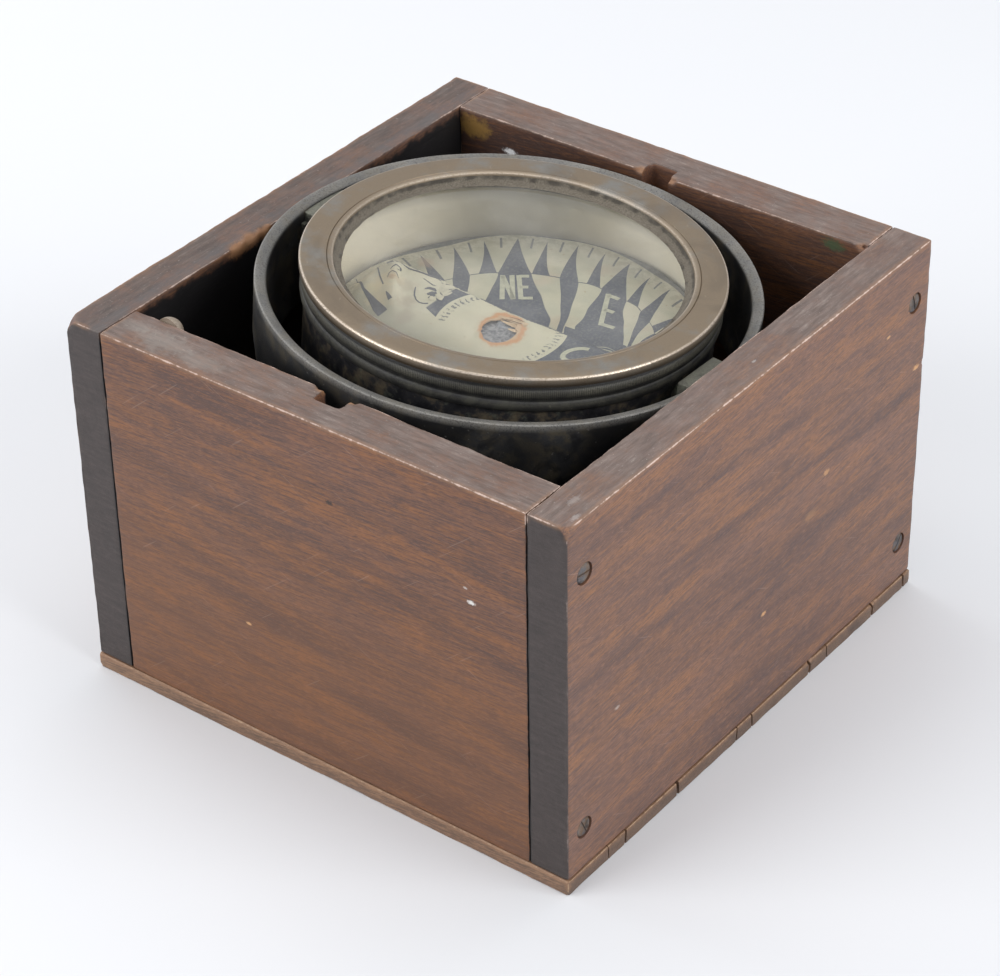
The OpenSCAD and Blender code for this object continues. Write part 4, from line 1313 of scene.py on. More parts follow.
@dataclass
class CompassBowl:
    """The bowl: wall, turned band, bezel, putty and glass, in the bowl's own frame."""

    gimbal: Gimbal
    in_r: float = 59.4
    out_r: float = 61.2
    thick: float = 1.8
    depth: float = 58.0
    bend: float = 40.0
    ledge_z: float = 11.5
    glass_z: float = 13.0
    bezel_z: float = 15.2
    bezel_top: float = 18.5
    bezel_r: float = 63.2
    window_r: float = 53.1
    glass_r: float = 58.6
    band_r: float = 62.6
    skirt_z: float = 6.4
    groove: float = 0.7
    putty_rise: float = 2.3
    putty_wide: float = 2.6

    def build(self) -> None:
        """Make the bowl's pieces."""
        self.wall()
        self.band()
        self.bezel()
        self.putty()
        self.glass()

    def fit(self, piece: bpy.types.Object, degrees: float, slot: str, finish: bpy.types.Material, node: str) -> None:
        """Set a finished piece in its place on the bowl.

        Args:
            piece: the piece, still about the bowl's own axis.
            degrees: edges that are sharper stay sharp.
            slot: the record's material slot.
            finish: its material.
            node: the CAD node that it replaces.
        """
        piece.data.transform(self.gimbal.bowl_place())
        round_off(piece, degrees)
        hand_over(piece, "bowl", slot, finish, node)

    def side(self, inset: float) -> list[Point]:
        """Return the bowl's half section from its middle to its rim, inset from its outer face."""
        bend = self.bend - inset
        middle = (self.out_r - self.bend, -self.depth + self.bend)
        return [(0, -self.depth + inset), (8, -self.depth + inset)] + arc(middle, (bend, bend), np.linspace(-90, 0, 30))

    def wall(self) -> None:
        """Turn the bowl's wall."""
        rise = (-10, -2, 5, self.ledge_z)
        outline = self.side(0) + [(self.out_r, z) for z in rise] + [(self.in_r, z) for z in rise[::-1]]
        piece = turned("bowl_wall", outline + self.side(self.thick)[::-1], 224, closed=False)
        points, radius = lathe_points(piece)
        level = points[:, 2]
        knee = -self.depth + self.bend
        corner = np.hypot(np.clip(radius - (self.out_r - self.bend), 0, None), np.clip(knee - level, 0, None))
        straight = (level > knee) & (radius < self.in_r + 0.6)
        curved = (level <= knee) & (corner < self.bend - self.thick + 0.6)
        inside = (straight | curved).astype(float)
        note(piece, "paint", inside)
        turn = np.degrees(np.arctan2(points[:, 1], points[:, 0]))
        # Painted shade on the inner wall: a darker patch round 124 degrees and a band just under the rim's lip.
        shade = 0.7 * np.exp(-(((turn - 124) / 27) ** 2)) * (0.85 + 0.15 * cloud(points, 14, 3))
        note(piece, "painted_shade", inside * np.maximum(smooth(9.3, 11.3, level) * 0.85, shade))
        self.fit(piece, 40, "bowl_brass", BowlWall().build(), "bowl_shell")

    def band(self) -> None:
        """Turn the band with its two beads, of which the upper has fine strokes round it."""
        neck = self.band_r - self.groove
        bead = (self.bezel_z - 0.8 - self.skirt_z) / 2
        outline: list[Point] = [(self.out_r, self.skirt_z)]
        for k in (0.5, 1.5):
            outline += arc((neck, self.skirt_z + k * bead), (self.groove, bead * 0.42), np.linspace(-85, 85, 13))
        seat, lip = self.glass_r + 0.3, self.in_r - 2.8
        outline += [(neck - 0.4, self.bezel_z - 0.5), (neck - 0.4, self.bezel_z), (seat, self.bezel_z),
                    (seat, self.glass_z), (lip, self.glass_z), (lip, self.ledge_z), (self.out_r, self.ledge_z)]
        piece = turned("bowl_band", outline, 512)
        points, radius = lathe_points(piece)
        bulge = smooth(neck + 0.1, self.band_r, radius)
        points[:, :2] *= (1 + 0.06 * bulge * cloud(points, 5, 3) / radius)[:, None]
        put_points(piece, points)
        level = points[:, 2] - self.skirt_z
        # Painted highlights on the beads' crests and painted shade in the grooves; the knurl strokes are real.
        crest = smooth(1.2 * bead, 1.55 * bead, level)
        lower = np.exp(-((level - 0.62 * bead) / 0.5) ** 2)
        note(piece, "rub_and_highlight", np.clip(bulge * (crest + 0.45 * lower) * (0.6 + 0.5 * cloud(points, 9, 2)), 0, 1))
        note(piece, "dim", 1 - smooth(neck - 0.1, neck + 0.25, radius))
        note(piece, "knurl", smooth(0.9 * bead, 1.1 * bead, level))
        finish = OldMetal("band_finish", (0.026, 0.025, 0.024), (0.048, 0.046, 0.037), (0.008, 0.008, 0.009),
                          (0.16, 0.15, 0.115), metal=0.2, rough=0.55, patch=4.0, pit=0.1, strokes=720.0).build()
        self.fit(piece, 60, "bowl_brass", finish, "rim_band")

    def bezel(self) -> None:
        """Turn the bezel with its rounded rim and the groove near its window."""
        top, low = self.bezel_top, self.bezel_z
        outline = [(self.window_r, low)]
        outline += [(self.bezel_r - inset, z) for inset, z in (
            (0.6, low), (0.15, low + 0.35), (0, low + 0.9), (0, top - 0.75), (0.08, top - 0.4), (0.3, top - 0.15),
            (0.7, top - 0.02))]
        outline += [(r, top - 0.02 - 0.004 * (r - 54)) for r in (60, 58, 56.5)]
        outline += [(55.2, top), (55.0, top - 0.28), (54.8, top), (53.9, top - 0.02), (self.window_r + 0.2, top - 0.35),
                    (self.window_r, top - 0.9)]
        piece = turned("bowl_bezel", outline, 320)
        points, radius = lathe_points(piece)
        level = points[:, 2] - top
        # Painted shade on the bezel's outer side, and painted highlights along its outer rim and the window's edge.
        note(piece, "dim", smooth(self.bezel_r - 0.5, self.bezel_r - 0.1, radius) * (1 - smooth(-1.2, -0.6, level)))
        rim = np.exp(-((radius - self.bezel_r + 0.15) / 0.22) ** 2) * smooth(-0.9, -0.5, level)
        mouth = 0.45 * np.exp(-((radius - self.window_r - 0.3) / 0.4) ** 2) * smooth(-0.9, -0.3, level)
        note(piece, "rub_and_highlight", np.clip(rim * (0.95 + 0.3 * cloud(points, 11, 1)) + mouth, 0, 1))
        finish = OldMetal("bezel_finish", (0.21, 0.16, 0.106), (0.205, 0.195, 0.175), (0.13, 0.1, 0.07),
                          (0.78, 0.67, 0.55), metal=0.5, rough=0.42, patch=15.0, patina_share=0.2, pit=0.02,
                          scrapes=0.06, stains=0.45).build()
        self.fit(piece, 30, "bezel_brass", finish, "bezel_ring")

    def putty(self) -> None:
        """Turn the fillet of putty and crumble it."""
        outline = [(self.window_r, self.bezel_z), (self.window_r, self.bezel_z + self.putty_rise)]
        outline += [(self.window_r - self.putty_wide * t, self.bezel_z + self.putty_rise * (1 - t) ** 1.5)
                    for t in (0.2, 0.4, 0.6, 0.8)]
        outline += [(self.window_r - self.putty_wide, self.bezel_z)]
        piece = turned("bowl_putty", refine(outline, 0.6), 420)
        points, radius = lathe_points(piece)
        free = smooth(0.05, 0.5, self.window_r - radius) * smooth(0.02, 0.4, points[:, 2] - self.bezel_z)
        lump = 0.45 * cloud(points, 2.6, 1) + 0.25 * cloud(points, 1.1, 2)
        points[:, 2] += free * (lump - 0.2)
        foot = radius < self.window_r - 1.8
        crumbs = 0.1 * cloud(points[foot], 14, 3) + 0.16 * cloud(points[foot], 1.5, 4)
        points[foot, :2] *= (1 - crumbs / radius[foot])[:, None]
        put_points(piece, points)
        # dim: painted shade along the putty's outer edge against the bezel and at its foot.
        outer, inner = smooth(0.35, 0.9, self.window_r - radius), smooth(0.0, 0.35, radius - self.window_r + 2.9)
        rim = np.clip(1 - outer + (1 - inner), 0, 1)
        note(piece, "dim", np.clip(rim * (0.5 + 0.8 * cloud(points, 1.6, 6)), 0, 0.75))
        self.fit(piece, 60, "putty", Putty().build(), "glazing_putty")

    def glass(self) -> None:
        """Turn the cover glass with a ground edge."""
        low, high, edge = self.glass_z, self.bezel_z, self.glass_r - 0.3
        outline = [(0, low), (30, low), (edge, low), (self.glass_r, low + 0.3)]
        outline += [(self.glass_r, high - 0.3), (edge, high), (30, high), (0, high)]
        self.fit(turned("bowl_glass", outline, 192, closed=False), 20, "glass", OldGlass().build(), "cover_glass")


# ---- The card ----------------------------------------------------------------------------------


class Warp:
    """A smooth map of the plane through given pairs of points."""

    def __init__(self, start: np.ndarray, end: np.ndarray, ease: float = 6.0) -> None:
        """Fit the map.

        Args:
            start: rows of points.
            end: where each of them goes.
            ease: how far the map may miss them to stay smooth.
        """
        self.start = start
        count = len(start)
        matrix = np.zeros((count + 3, count + 3))
        matrix[:count, :count] = self.bend(start) + ease * np.eye(count)
        matrix[:count, count:] = np.c_[np.ones(count), start]
        matrix[count:, :count] = matrix[:count, count:].T
        self.weights = np.linalg.solve(matrix, np.vstack([end, np.zeros((3, 2))]))

    def bend(self, points: np.ndarray) -> np.ndarray:
        """Return the thin plate's answer between points and the start points."""
        gap = np.hypot(points[:, None, 0] - self.start[None, :, 0], points[:, None, 1] - self.start[None, :, 1])
        return np.where(gap > 0, gap**2 * np.log(np.maximum(gap, 1e-9)), 0.0)

    def __call__(self, points: np.ndarray) -> np.ndarray:
        """Return where points go."""
        return self.bend(points) @ self.weights[:-3] + np.c_[np.ones(len(points)), points] @ self.weights[-3:]


def bearing(radius: float, degrees: float) -> Point:
    """Return north and west of a point of the card at a compass bearing."""
    turn = math.radians(degrees)
    return radius * math.cos(turn), -radius * math.sin(turn)


@dataclass
class CompassCard:
    """The card: buckled paper with its printed rose, and what is drawn on it.

    Its own axes run north and west from the point that carries it. The pairs give where points of the print
    lie on the slipped east half: north and west on the card, then radius and bearing in the print. Each stroke
    of the fleur-de-lis is a path on the card and its width at each point, and each letter or pair of letters
    has the four corners of its field. One of the dark strokes is no print but a painted shadow along the
    buckle's crest.
    """

    axes: CardAxes = CardAxes()
    card_r: float = 57.4
    hole_r: float = 5.2
    drop: float = 1.5
    lift_off: float = 0.02
    thick: float = 0.35
    slip: Point = (-1.5, 5.0)
    pairs: Sequence[Ball] = (
        (38.8, -39.0, 54.5, 45), (26.8, -20.6, 34.6, 37.7), (20.4, -27.4, 34.6, 52.3), (31.0, -44.3, 54.5, 56.25),
        (19.6, -27.7, 34.6, 52.85), (15.2, -30.6, 34.6, 59.65), (22.7, -49.6, 54.5, 67.5), (12.1, -32.2, 34.6, 63.5),
        (6.4, -34.2, 34.6, 71.5), (13.6, -52.7, 54.5, 78.75), (4.2, -36.0, 34.6, 75.35), (0.0, -37.0, 34.6, 82.15),
        (-2.0, -36.9, 34.6, 82.7), (-11.1, -37.4, 34.6, 97.3), (-6.2, -52.8, 54.5, 101.25), (-11.9, -37.8, 34.6, 97.85),
        (-16.2, -37.8, 34.6, 104.65), (-15.3, -52.2, 54.5, 112.5), (-18.6, -36.6, 34.6, 108.5),
        (-24.8, -34.2, 34.6, 116.5),
        (48.1, -20.6, 54.5, 22.5), (34.4, -8.2, 34.6, 18.5), (32.6, -13.2, 34.6, 26.5), (45.1, -30.3, 54.5, 33.75),
        (31.1, -15.9, 34.6, 30.35), (28.1, -20.1, 34.6, 37.15), (-15.35, -7.26, 1.0, 67.5), (-27.0, -21.3, 12.7, 98.1),
        (-28.5, -23.7, 13.0, 112.5), (18.1, -7.5, 20.2, 37.55), (22.2, -13.5, 27.4, 37.6), (25.45, -5.98, 24.5, 26.4),
        (8.3, -20.8, 23.5, 52.5), (-3.7, -13.9, 12.1, 53.1), (-6.4, -26.5, 23.5, 82.5), (-10.9, -16.7, 12.0, 81.9),
        (-19.3, -29.1, 23.5, 97.5), (7.4, 8.4, 1.0, 22.5), (-35.1, -13.0, 1.0, 112.5), (-4.0, 0.5, 0.5, 45.0),
        (-25.2, -10.2, 0.5, 90.0), (-33.5, -27.5, 34.6, 135.0), (-43.0, -16.5, 34.6, 157.5), (-46.0, -3.0, 34.6, 180.0))
    ink_and_shadow_strokes: Sequence[Stroke] = (
        (((31.6, 9.0), (30.2, 10.6), (28.7, 12.0), (26.8, 13.0), (25.1, 13.2), (23.8, 12.6), (22.9, 11.6)),
         (0.3, 0.5, 0.5, 0.4, 0.45, 0.5, 0.6)),
        (((54.8, 13.3), (43.0, 20.2), (36.9, 22.0), (32.1, 23.6), (29.1, 24.2)), (0.2, 0.8, 2.0, 3.0, 3.2)),
        (((54.8, 5.7), (43.1, 13.4), (38.4, 16.0)), (0.3, 0.45, 0.35)),
        (((34.5, 18.2), (32.5, 19.1), (30.6, 19.9)), (0.3, 0.9, 1.3)),
        # Painted shadow along the buckle's crest.
        (((44.4, 3.8), (40.6, 3.7), (36.4, 2.3), (33.2, 1.6), (30.8, 0.7), (29.0, 1.0)),
         (0.25, 0.6, 0.75, 0.7, 0.5, 0.2)),
        (((29.1, 7.5), (28.6, 6.2), (27.1, 5.6), (25.9, 5.8)), (0.5, 1.2, 1.3, 0.5)),
        (((26.6, 8.8), (25.8, 7.4), (25.2, 6.2)), (0.8, 2.2, 0.9)),
        (((24.9, 9.8), (24.9, 8.6), (24.4, 7.4)), (0.4, 1.1, 0.5)),
        (((23.8, 7.6), (22.4, 8.4), (21.6, 8.9)), (0.3, 0.5, 0.2)),
        (((28.5, 1.6), (27.0, 1.1), (25.8, 0.3)), (0.12, 0.4, 0.15)),
        (((25.1, 2.6), (23.7, 1.9), (22.4, 1.0)), (0.12, 0.35, 0.15)),
        (((24.9, 5.2), (23.4, 5.7), (22.2, 6.0)), (0.15, 0.45, 0.2)),
        (((33.7, 4.1), (31.3, 4.2), (29.2, 4.3), (28.1, 3.9)), (0.15, 0.35, 0.4, 0.2)),
        (((41.6, 10.4), (42.1, 8.9), (42.0, 7.6), (41.0, 6.8), (39.9, 7.7), (40.1, 8.9)),
         (0.15, 0.4, 0.5, 0.5, 0.4, 0.2)),
        (((39.3, 13.5), (40.4, 12.0), (40.3, 10.7), (38.5, 10.6), (36.6, 11.3)), (0.12, 0.25, 0.25, 0.25, 0.12)))
    pale_strokes: Sequence[Stroke] = (
        (((24.9, 8.6), (23.6, 9.5), (22.9, 9.9)), (0.8, 1.9, 0.6)),
        (((24.3, 6.1), (22.7, 7.0), (21.4, 7.8)), (0.7, 2.5, 0.6)),
        (((25.4, 5.0), (26.5, 2.9), (27.2, 1.6), (27.3, 0.2)), (0.5, 1.1, 1.0, 0.3)),
        (((24.3, 5.2), (25.1, 3.2), (24.5, 1.5), (22.6, -0.6)), (0.6, 1.2, 1.2, 0.3)),
        (((22.6, 5.9), (22.5, 4.4), (22.3, 2.5)), (0.5, 1.2, 0.3)))
    letters: Sequence[tuple[str, tuple[Point, Point, Point, Point]]] = (
        ("NE", ((15.4, -10.4), (8.6, -17.7), (25.7, -20.0), (19.8, -26.3))),
        ("E", ((-15.5, -22.1), (-20.6, -23.7), (-4.1, -36.3), (-8.7, -37.2))),
        ("S", ((-27.0, -8.6), (-22.6, 1.3), (-38.6, -3.0), (-34.5, 7.4))),
        ("SW", ((-17.5, 13.0), (-11.5, 19.0), (-27.5, 22.0), (-21.5, 28.0))),
        ("W", ((-5.4, 26.0), (2.4, 26.0), (-5.4, 37.5), (2.4, 37.5))))

    def build(self) -> None:
        """Make the card's pieces."""
        card = np.array([(n, w) for n, w, _, _ in self.pairs])
        ink = np.array([bearing(r, b) for _, _, r, b in self.pairs])
        rim = np.array([bearing(self.card_r, b) for b in (0, 130, 150, 170, 180, 220, 260, 300, 340)])
        self.to_print = Warp(np.vstack([card, rim]), np.vstack([ink, rim]))
        self.sheet()
        self.lettering()
        self.flower()
        self.backing()
        self.middle()

    def fold_line(self, north: np.ndarray) -> np.ndarray:
        """Return the west coordinate of the buckle's crest."""
        return 0.16 * north - 0.06 * self.card_r

    def height(self, north: np.ndarray, west: np.ndarray) -> np.ndarray:
        """Return the paper's height over the disc, as in the frame's own paper."""
        reach = np.hypot(north, west)
        side = west - self.fold_line(north)
        tall = 4 + 1.6 * smooth(0.14 * self.card_r, 0.7 * self.card_r, north)
        down = 1 - smooth(0.1 * self.card_r, 0.8 * self.card_r, side)
        slope = np.where(side < 0, smooth(-0.12 * self.card_r, 0, side), down)
        lift = tall * slope * (1 - smooth(0.83 * self.card_r, 0.97 * self.card_r, reach))
        flat = np.c_[north, west, 0 * north]
        ripple = 0.25 * cloud(flat, 9, 3) + 0.5 * cloud(flat, 24, 4)
        across = (north - 43.1) * 0.68 + (west - 7.0) * 0.734
        along = (43.1 - north) * 0.734 + (west - 7.0) * 0.68
        tube = np.where(across > 0, np.exp(-((across / 3.7) ** 2)), np.exp(-((across / 1.9) ** 2)))
        tube = 2.5 * tube * smooth(-5, 0, along) * (1 - smooth(16, 26, along))
        return lift + tube + 0.3 * (1 + ripple) * smooth(6, 12, reach) * (1 - smooth(50, 56.5, reach))

    def world(self, north: np.ndarray, west: np.ndarray, up: np.ndarray) -> np.ndarray:
        """Return the frame's coordinates of points on the card, in millimetres."""
        return np.c_[(*self.axes.place(north, west), self.axes.tip[2] - self.drop + self.lift_off + up)]

    def lay(self, north: np.ndarray, west: np.ndarray, over: float | np.ndarray) -> np.ndarray:
        """Return the frame's coordinates of points of the card, over millimetres above the paper."""
        return self.world(north, west, self.height(north, west) + self.thick + over)

    def sheet(self) -> None:
        """Spin the flat sheet, buckle it, and lay out the print's coordinates."""
        rings, spokes = 88, 320
        spacing = (self.card_r - self.hole_r) / rings
        piece = turned("card_sheet", [(self.hole_r + spacing * k, 0.0) for k in range(rings + 1)], spokes, closed=False)
        face_up(piece)
        points, reach = lathe_points(piece)
        turn = np.arctan2(points[:, 1], points[:, 0])
        round_points = np.c_[8 * np.cos(turn), 8 * np.sin(turn), 0 * turn]
        torn = 1 + 0.1 * cloud(round_points, 2.4, 7) * (1 - smooth(5, 7.5, reach))
        toward = np.clip(0.66 * np.sin(turn) - 0.75 * np.cos(turn), 0, 1)
        torn = torn * (1 + 0.45 * toward**1.5 * (1 - smooth(5, 12, reach)))
        share = 1 - smooth(5, 34, reach)
        north, west = (points[:, k] * torn + self.slip[k] * share for k in (0, 1))
        print_at = self.print_of(piece, north, west)
        put_points(piece, self.lay(north, west, 0.5 * (1 - smooth(5, 8, reach)) * (0.5 + cloud(points, 2.5, 8))))
        while piece.data.uv_layers:
            piece.data.uv_layers.remove(piece.data.uv_layers[0])
        layer = piece.data.uv_layers.new(name="print")
        layer.data.foreach_set("uv", (print_at / RosePaper.span + 0.5).astype(np.float32).ravel())
        finish_with(piece, "SOLIDIFY", thickness=self.thick * MM, offset=-1)
        round_off(piece, 60)
        hand_over(piece, "card", "card_paper", RosePaper().build(), "card_paper")

    def print_of(self, piece: bpy.types.Object, north: np.ndarray, west: np.ndarray) -> np.ndarray:
        """Return the print's coordinates for each face corner, and mark the buckled half's faces.

        Args:
            piece: the flat sheet.
            north: each vertex's place on the card.
            west: each vertex's place on the card.

        Returns:
            Rows of north and west in the print.
        """
        mesh = piece.data
        corner = np.empty(len(mesh.loops), np.int32)
        mesh.loops.foreach_get("vertex_index", corner)
        starts, totals = (np.empty(len(mesh.polygons), np.int32) for _ in range(2))
        mesh.polygons.foreach_get("loop_start", starts)
        mesh.polygons.foreach_get("loop_total", totals)
        middle_n, middle_w = (np.add.reduceat(part[corner], starts) / totals for part in (north, west))
        near = (middle_w - self.fold_line(middle_n)) > -0.8
        note(piece, "near", near.astype(float), "FACE")
        far_print = self.to_print(np.c_[north, west])
        reach = np.hypot(north, west)
        share = np.clip(1 - (reach / self.card_r) ** 2, 0, 1)
        across, up = north - self.slip[0] * share, west - self.slip[1] * share
        turn = np.radians(-6.5 * (1 - smooth(44, 56, reach)))
        near_print = np.c_[across * np.cos(turn) - up * np.sin(turn), across * np.sin(turn) + up * np.cos(turn)]
        on_near = np.repeat(near, totals)
        return np.where(on_near[:, None], near_print[corner], far_print[corner])

    def ribbon(self, path: Sequence[Point], width: float | Sequence[float], over: float, along: int = 24,
               curl: float = 0.0) -> bpy.types.Object:
        """Lay a flat stroke on the card.

        Args:
            path: north and west of its middle line on the card.
            width: its width, one number or one for each point of the path.
            over: height above the paper.
            along: faces along it.
            curl: how much higher its far end stands.

        Returns:
            The stroke.
        """
        line = np.array(path, float)
        steps = np.r_[0, np.cumsum(np.hypot(*np.diff(line, axis=0).T))]
        widths = np.broadcast_to(np.array(width, float), len(line))
        let_go()
        bpy.ops.mesh.primitive_grid_add(x_subdivisions=along, y_subdivisions=4, size=2)
        piece = bpy.context.object
        flat = points_of(piece) * MM
        share = (flat[:, 0] + 1) / 2 * steps[-1]
        half = np.interp(share, steps, widths) / 2
        ahead, behind = np.clip(share + 0.05, 0, steps[-1]), np.clip(share - 0.05, 0, steps[-1])
        run_n, run_w = (np.interp(ahead, steps, line[:, k]) - np.interp(behind, steps, line[:, k]) for k in (0, 1))
        size = np.hypot(run_n, run_w)
        north = np.interp(share, steps, line[:, 0]) - run_w / size * half * flat[:, 1]
        west = np.interp(share, steps, line[:, 1]) + run_n / size * half * flat[:, 1]
        lift = over + curl * (share / steps[-1]) ** 2 + 0.4 * curl * (1 - flat[:, 1] ** 2) * share / steps[-1]
        put_points(piece, self.lay(north, west, lift))
        return piece

    @staticmethod
    def strokes(sign: str) -> list[list[Point]]:
        """Return the strokes of a letter on a field of 1 by 1, as rows of across and up."""
        if sign == "S":
            high = arc((0.5, 0.74), (0.42, 0.22), range(20, 271, 12))
            return [high + arc((0.5, 0.27), (0.42, 0.23), range(90, -161, -12))]
        zigzag = [(0.04, 1), (0.26, 0.02), (0.5, 0.85), (0.74, 0.02), (0.96, 1)]
        return {"E": [[(0.14, 0), (0.14, 1)], [(0.14, 0.045), (1, 0.045)], [(0.14, 0.5), (0.8, 0.5)],
                      [(0.14, 0.955), (1, 0.955)]],
                "N": [[(0.14, 0), (0.14, 1)], [(0.14, 0.97), (0.86, 0.03)], [(0.86, 0), (0.86, 1)]],
                "W": [list(pair) for pair in itertools.pairwise(zigzag)]}[sign]

    def lettering(self) -> None:
        """Draw the letters of the points, except north, as pale strokes in the dark rays."""
        made = []
        for signs, corners in self.letters:
            low_left, low_right, top_left, top_right = (np.array(c) for c in corners)
            for k, sign in enumerate(signs):
                start, size = (0.0, 1.0) if len(signs) == 1 else ((0.0, 0.46), (0.58, 0.42))[k]
                for path in self.strokes(sign):
                    line = []
                    for across, up in path:
                        across = start + size * across
                        line.append((low_left * (1 - across) + low_right * across) * (1 - up)
                                    + (top_left * (1 - across) + top_right * across) * up)
                    made.append(self.ribbon(line, 1.55, 0.07, 20 if len(path) == 2 else 60))
        self.close("card_letters", made, PlainFinish("letter_finish", (0.4, 0.39, 0.3), (0.52, 0.5, 0.38), 0.7))

    def flower(self) -> None:
        """Draw the fleur-de-lis of north in dark and pale strokes, with a dark painted shadow along the buckle's crest.
        """
        for name, strokes, over, finish in (
                ("card_flower_print_and_shadow", self.ink_and_shadow_strokes, 0.08,
                 PlainFinish("flower_print_and_shadow", (0.085, 0.085, 0.1), (0.12, 0.12, 0.14), 0.7)),
                ("card_flower", self.pale_strokes, 0.15,
                 PlainFinish("flower_paper", (0.5, 0.46, 0.36), (0.62, 0.56, 0.43), 0.7))):
            self.close(name, [self.ribbon(path, width, over, 36) for path, width in strokes], finish)

    def middle(self) -> None:
        """Lay the torn flaps and the dark splits at the middle hole."""
        torn = [self.ribbon(((-5.6, -2.3), (-2.6, -1.6), (2.4, 0.4)), (2.4, 2.5, 0.9), 0.1, curl=0.35),
                self.ribbon(((-5.4, -0.4), (-2.4, 0.6), (0.9, 2.0)), (2.2, 1.9, 0.4), 0.05, curl=0.6),
                self.ribbon(((-6.6, 1.3), (-5.2, 2.2), (-3.4, 3.2)), (2.0, 1.7, 0.4), 0.05, curl=0.3)]
        self.close("card_torn_flaps", torn, PlainFinish("torn_paper", (0.45, 0.3, 0.18), (0.66, 0.5, 0.34), 0.75))
        split = [self.ribbon(((-4.9, -1.2), (-2.0, -0.3), (1.6, 0.9)), (0.2, 0.45, 0.2), 0.75),
                 self.ribbon(((-4.4, -2.6), (-1.4, -2.2), (0.8, -1.2)), (0.15, 0.3, 0.1), 0.65)]
        self.close("card_splits", split, PlainFinish("split_finish", (0.12, 0.07, 0.045), (0.2, 0.12, 0.07), 0.75))

    def backing(self) -> None:
        """Spin the piece of blue-grey backing that shows through the middle hole."""
        piece = turned("card_backing", [(0.6 * k, 0.0) for k in range(17)], 96, closed=False)
        flat, reach = lathe_points(piece)
        over = -0.75 - 0.5 * smooth(5, 9, reach) + 0.25 * cloud(flat, 2.6, 5)
        put_points(piece, self.lay(flat[:, 0] + self.slip[0], flat[:, 1] + self.slip[1], over))
        finish = PlainFinish("backing_finish", (0.1, 0.1, 0.125), (0.36, 0.35, 0.36), 0.7, size=1.3)
        self.settle(piece, 0.15, finish)

    def close(self, name: str, strokes: Sequence[bpy.types.Object], finish: PlainFinish) -> None:
        """Join strokes into one thin printed piece on the card."""
        piece = join(strokes, name)
        take(piece)
        bpy.ops.object.mode_set(mode="EDIT")
        bpy.ops.mesh.select_all(action="SELECT")
        bpy.ops.mesh.normals_make_consistent(inside=False)
        let_go()
        self.settle(piece, 0.04, finish)

    @staticmethod
    def settle(piece: bpy.types.Object, thick: float, finish: PlainFinish) -> None:
        """Thicken a small sheet downwards and put it on the card."""
        face_up(piece)
        finish_with(piece, "SOLIDIFY", thickness=thick * MM, offset=-1)
        round_off(piece, 60)
        hand_over(piece, "card", "card_paper", finish.build())


# ---- What stays from the frame -----------------------------------------------------------------


def dress_frame(nodes: dict[str, bpy.types.Object], brass: bpy.types.Material, iron: bpy.types.Material) -> None:
    """Give the CAD nodes that stay their finishes."""
    lead = OldMetal("lead_finish", (0.12, 0.12, 0.13), (0.2, 0.2, 0.21), (0.05, 0.05, 0.055), (0.3, 0.3, 0.31),
                    metal=0.5, rough=0.6, patch=4.0).build()
    steel = OldMetal("blued_steel_finish", (0.06, 0.065, 0.085), (0.12, 0.08, 0.06), (0.02, 0.02, 0.028),
                     (0.4, 0.4, 0.42), metal=0.8, rough=0.4, patch=5.0).build()
    stud = OldMetal("stud_finish", (0.3, 0.24, 0.18), (0.36, 0.3, 0.24), (0.14, 0.1, 0.07), (0.6, 0.5, 0.4),
                    metal=0.25, rough=0.45, patch=2.5).build()
    mica = PlainFinish("mica_finish", (0.22, 0.23, 0.26), (0.36, 0.36, 0.37), 0.35, size=3.0).build()
    cap = PlainFinish("cap_finish", (0.2, 0.21, 0.25), (0.42, 0.42, 0.45), 0.5, size=1.2).build()
    jewel = PlainFinish("jewel_finish", (0.12, 0.01, 0.015), (0.25, 0.03, 0.04), 0.12, size=0.6).build()
    by_node = {"base_nails": iron, "front_stud": stud, "ballast_weight": lead, "pivot_point": steel,
               "magnet_needles": steel, "card_disc": mica, "cap_jewel": jewel, "card_cap": cap}
    by_node |= dict.fromkeys(("front_trunnion", "back_trunnion", "block_rivets", "left_bowl_pivot", "right_bowl_pivot",
                              "pivot_post", "post_nut", "needle_rivets"), brass)
    for name, finish in by_node.items():
        nodes[name].material_slots[0].material = finish
        LOG.info("%s keeps its solid and gets %s", name, finish.name)


# ---- Room, light and camera --------------------------------------------------------------------


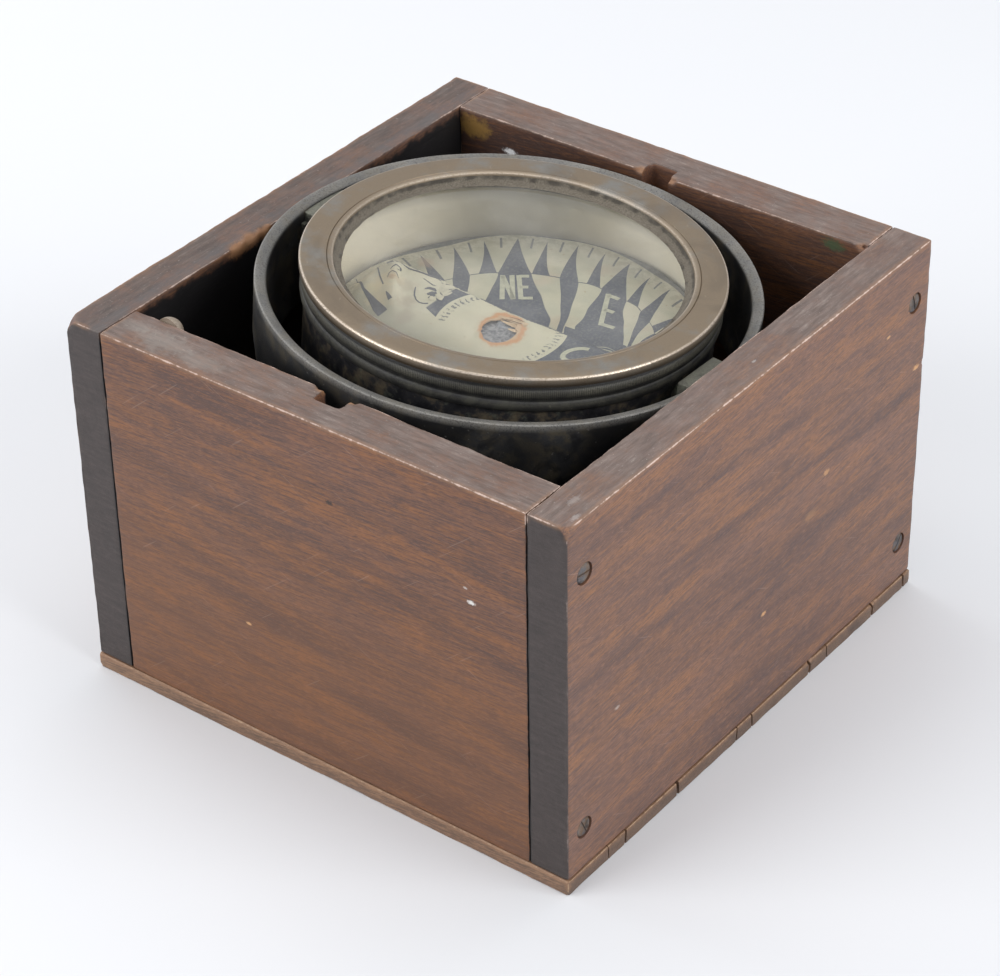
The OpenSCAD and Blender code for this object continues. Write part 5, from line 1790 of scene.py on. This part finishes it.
@dataclass
class Studio:
    """Pale floor, soft light, and the camera at the photograph's place."""

    eye: tuple[float, float, float] = (0.4905, -0.63905, 0.6124)
    ahead: tuple[float, float, float] = (-0.50202, 0.64958, -0.57098)
    up: tuple[float, float, float] = (-0.33525, 0.46242, 0.82083)
    lens: float = 114.96
    aim: tuple[float, float, float] = (0, 0, 0.08)

    def build(self) -> None:
        """Make the room."""
        self.floor()
        self.sky()
        for name, spot, size, power in (("key", (-0.2, 0.4, 1.8), 1.8, 14.0), ("left", (-1.4, 0.1, 0.75), 1.0, 5.0),
                                        ("side", (1.45, 0.15, 0.8), 1.2, 18.0), ("fill", (-0.9, -1.5, 1.0), 1.4, 24.0)):
            self.lamp(name, spot, size, power)
        self.camera()

    def floor(self) -> None:
        """Lay the pale floor, a little darker towards the camera by painted shade."""
        let_go()
        bpy.ops.mesh.primitive_plane_add(size=8, location=(0, 0, 0))
        floor = bpy.context.object
        floor.name = "studio_floor"
        g = Graph("floor_finish")
        tone = g.speckle(g.coordinates(), 0.0006, 1, 0.4)
        pale = g.ramp(tone, [(0.3, (0.79, 0.8, 0.82)), (0.7, (0.84, 0.85, 0.87))])
        place = g.parts(g.coordinates())
        # Painted shade: the floor darkens towards the camera.
        nearer = g.minus(g.times(place[0], 0.62), g.times(place[1], 0.78))
        floor.data.materials.append(g.surface(g.mix(g.step(nearer, -40, 330, 0, 0.6), pale, (0.69, 0.7, 0.72)), 0.9))

    def sky(self) -> None:
        """Light the room evenly and show pale walls to eyes and mirrors."""
        g = Graph("studio_world", world=True)
        path = g.add("LightPath").outputs
        seen = g.plus(path["Is Camera Ray"], g.plus(path["Is Glossy Ray"], path["Is Transmission Ray"]), clamp=True)
        lit = g.add("Background", {"Color": (0.9, 0.93, 1.0), "Strength": 0.36})
        wall = g.add("Background", {"Color": (0.86, 0.88, 0.92), "Strength": 0.85})
        bpy.context.scene.world = g.close(g.merge(seen, lit, wall), "OutputWorld")

    def lamp(self, name: str, spot: tuple[float, float, float], size: float, power: float) -> None:
        """Hang a soft square lamp that points at the box."""
        light = bpy.data.lights.new(name, "AREA")
        light.shape = "SQUARE"
        light.size = size
        light.energy = power
        lamp = bpy.data.objects.new(name, light)
        bpy.context.scene.collection.objects.link(lamp)
        lamp.location = spot
        lamp.rotation_euler = (Vector(self.aim) - Vector(spot)).to_track_quat("-Z", "Y").to_euler()

    def camera(self) -> None:
        """Set the camera where the photograph was taken from."""
        lens = bpy.data.cameras.new("photo_camera")
        lens.lens = self.lens
        lens.sensor_width = 36
        lens.sensor_fit = "HORIZONTAL"
        lens.clip_start = 0.01
        camera = bpy.data.objects.new("photo_camera", lens)
        bpy.context.scene.collection.objects.link(camera)
        back = -Vector(self.ahead).normalized()
        up = Vector(self.up)
        up = (up - back * up.dot(back)).normalized()
        turn = Matrix((up.cross(back), up, back)).transposed().to_4x4()
        camera.matrix_world = Matrix.Translation(self.eye) @ turn
        bpy.context.scene.camera = camera


def main() -> None:
    """Build the whole scene in order."""
    logging.basicConfig(level=logging.INFO, format="%(message)s")
    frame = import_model()
    let_go()
    bpy.context.scene.view_settings.view_transform = "Standard"
    Studio().build()
    wooden = WoodenBox()
    wooden.build()
    gimbal = Gimbal()
    gimbal.build()
    CompassBowl(gimbal).build()
    CompassCard().build()
    dress_frame(frame["nodes"], gimbal.brass, wooden.iron)
    let_go()
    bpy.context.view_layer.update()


if __name__ == "__main__":
    main()
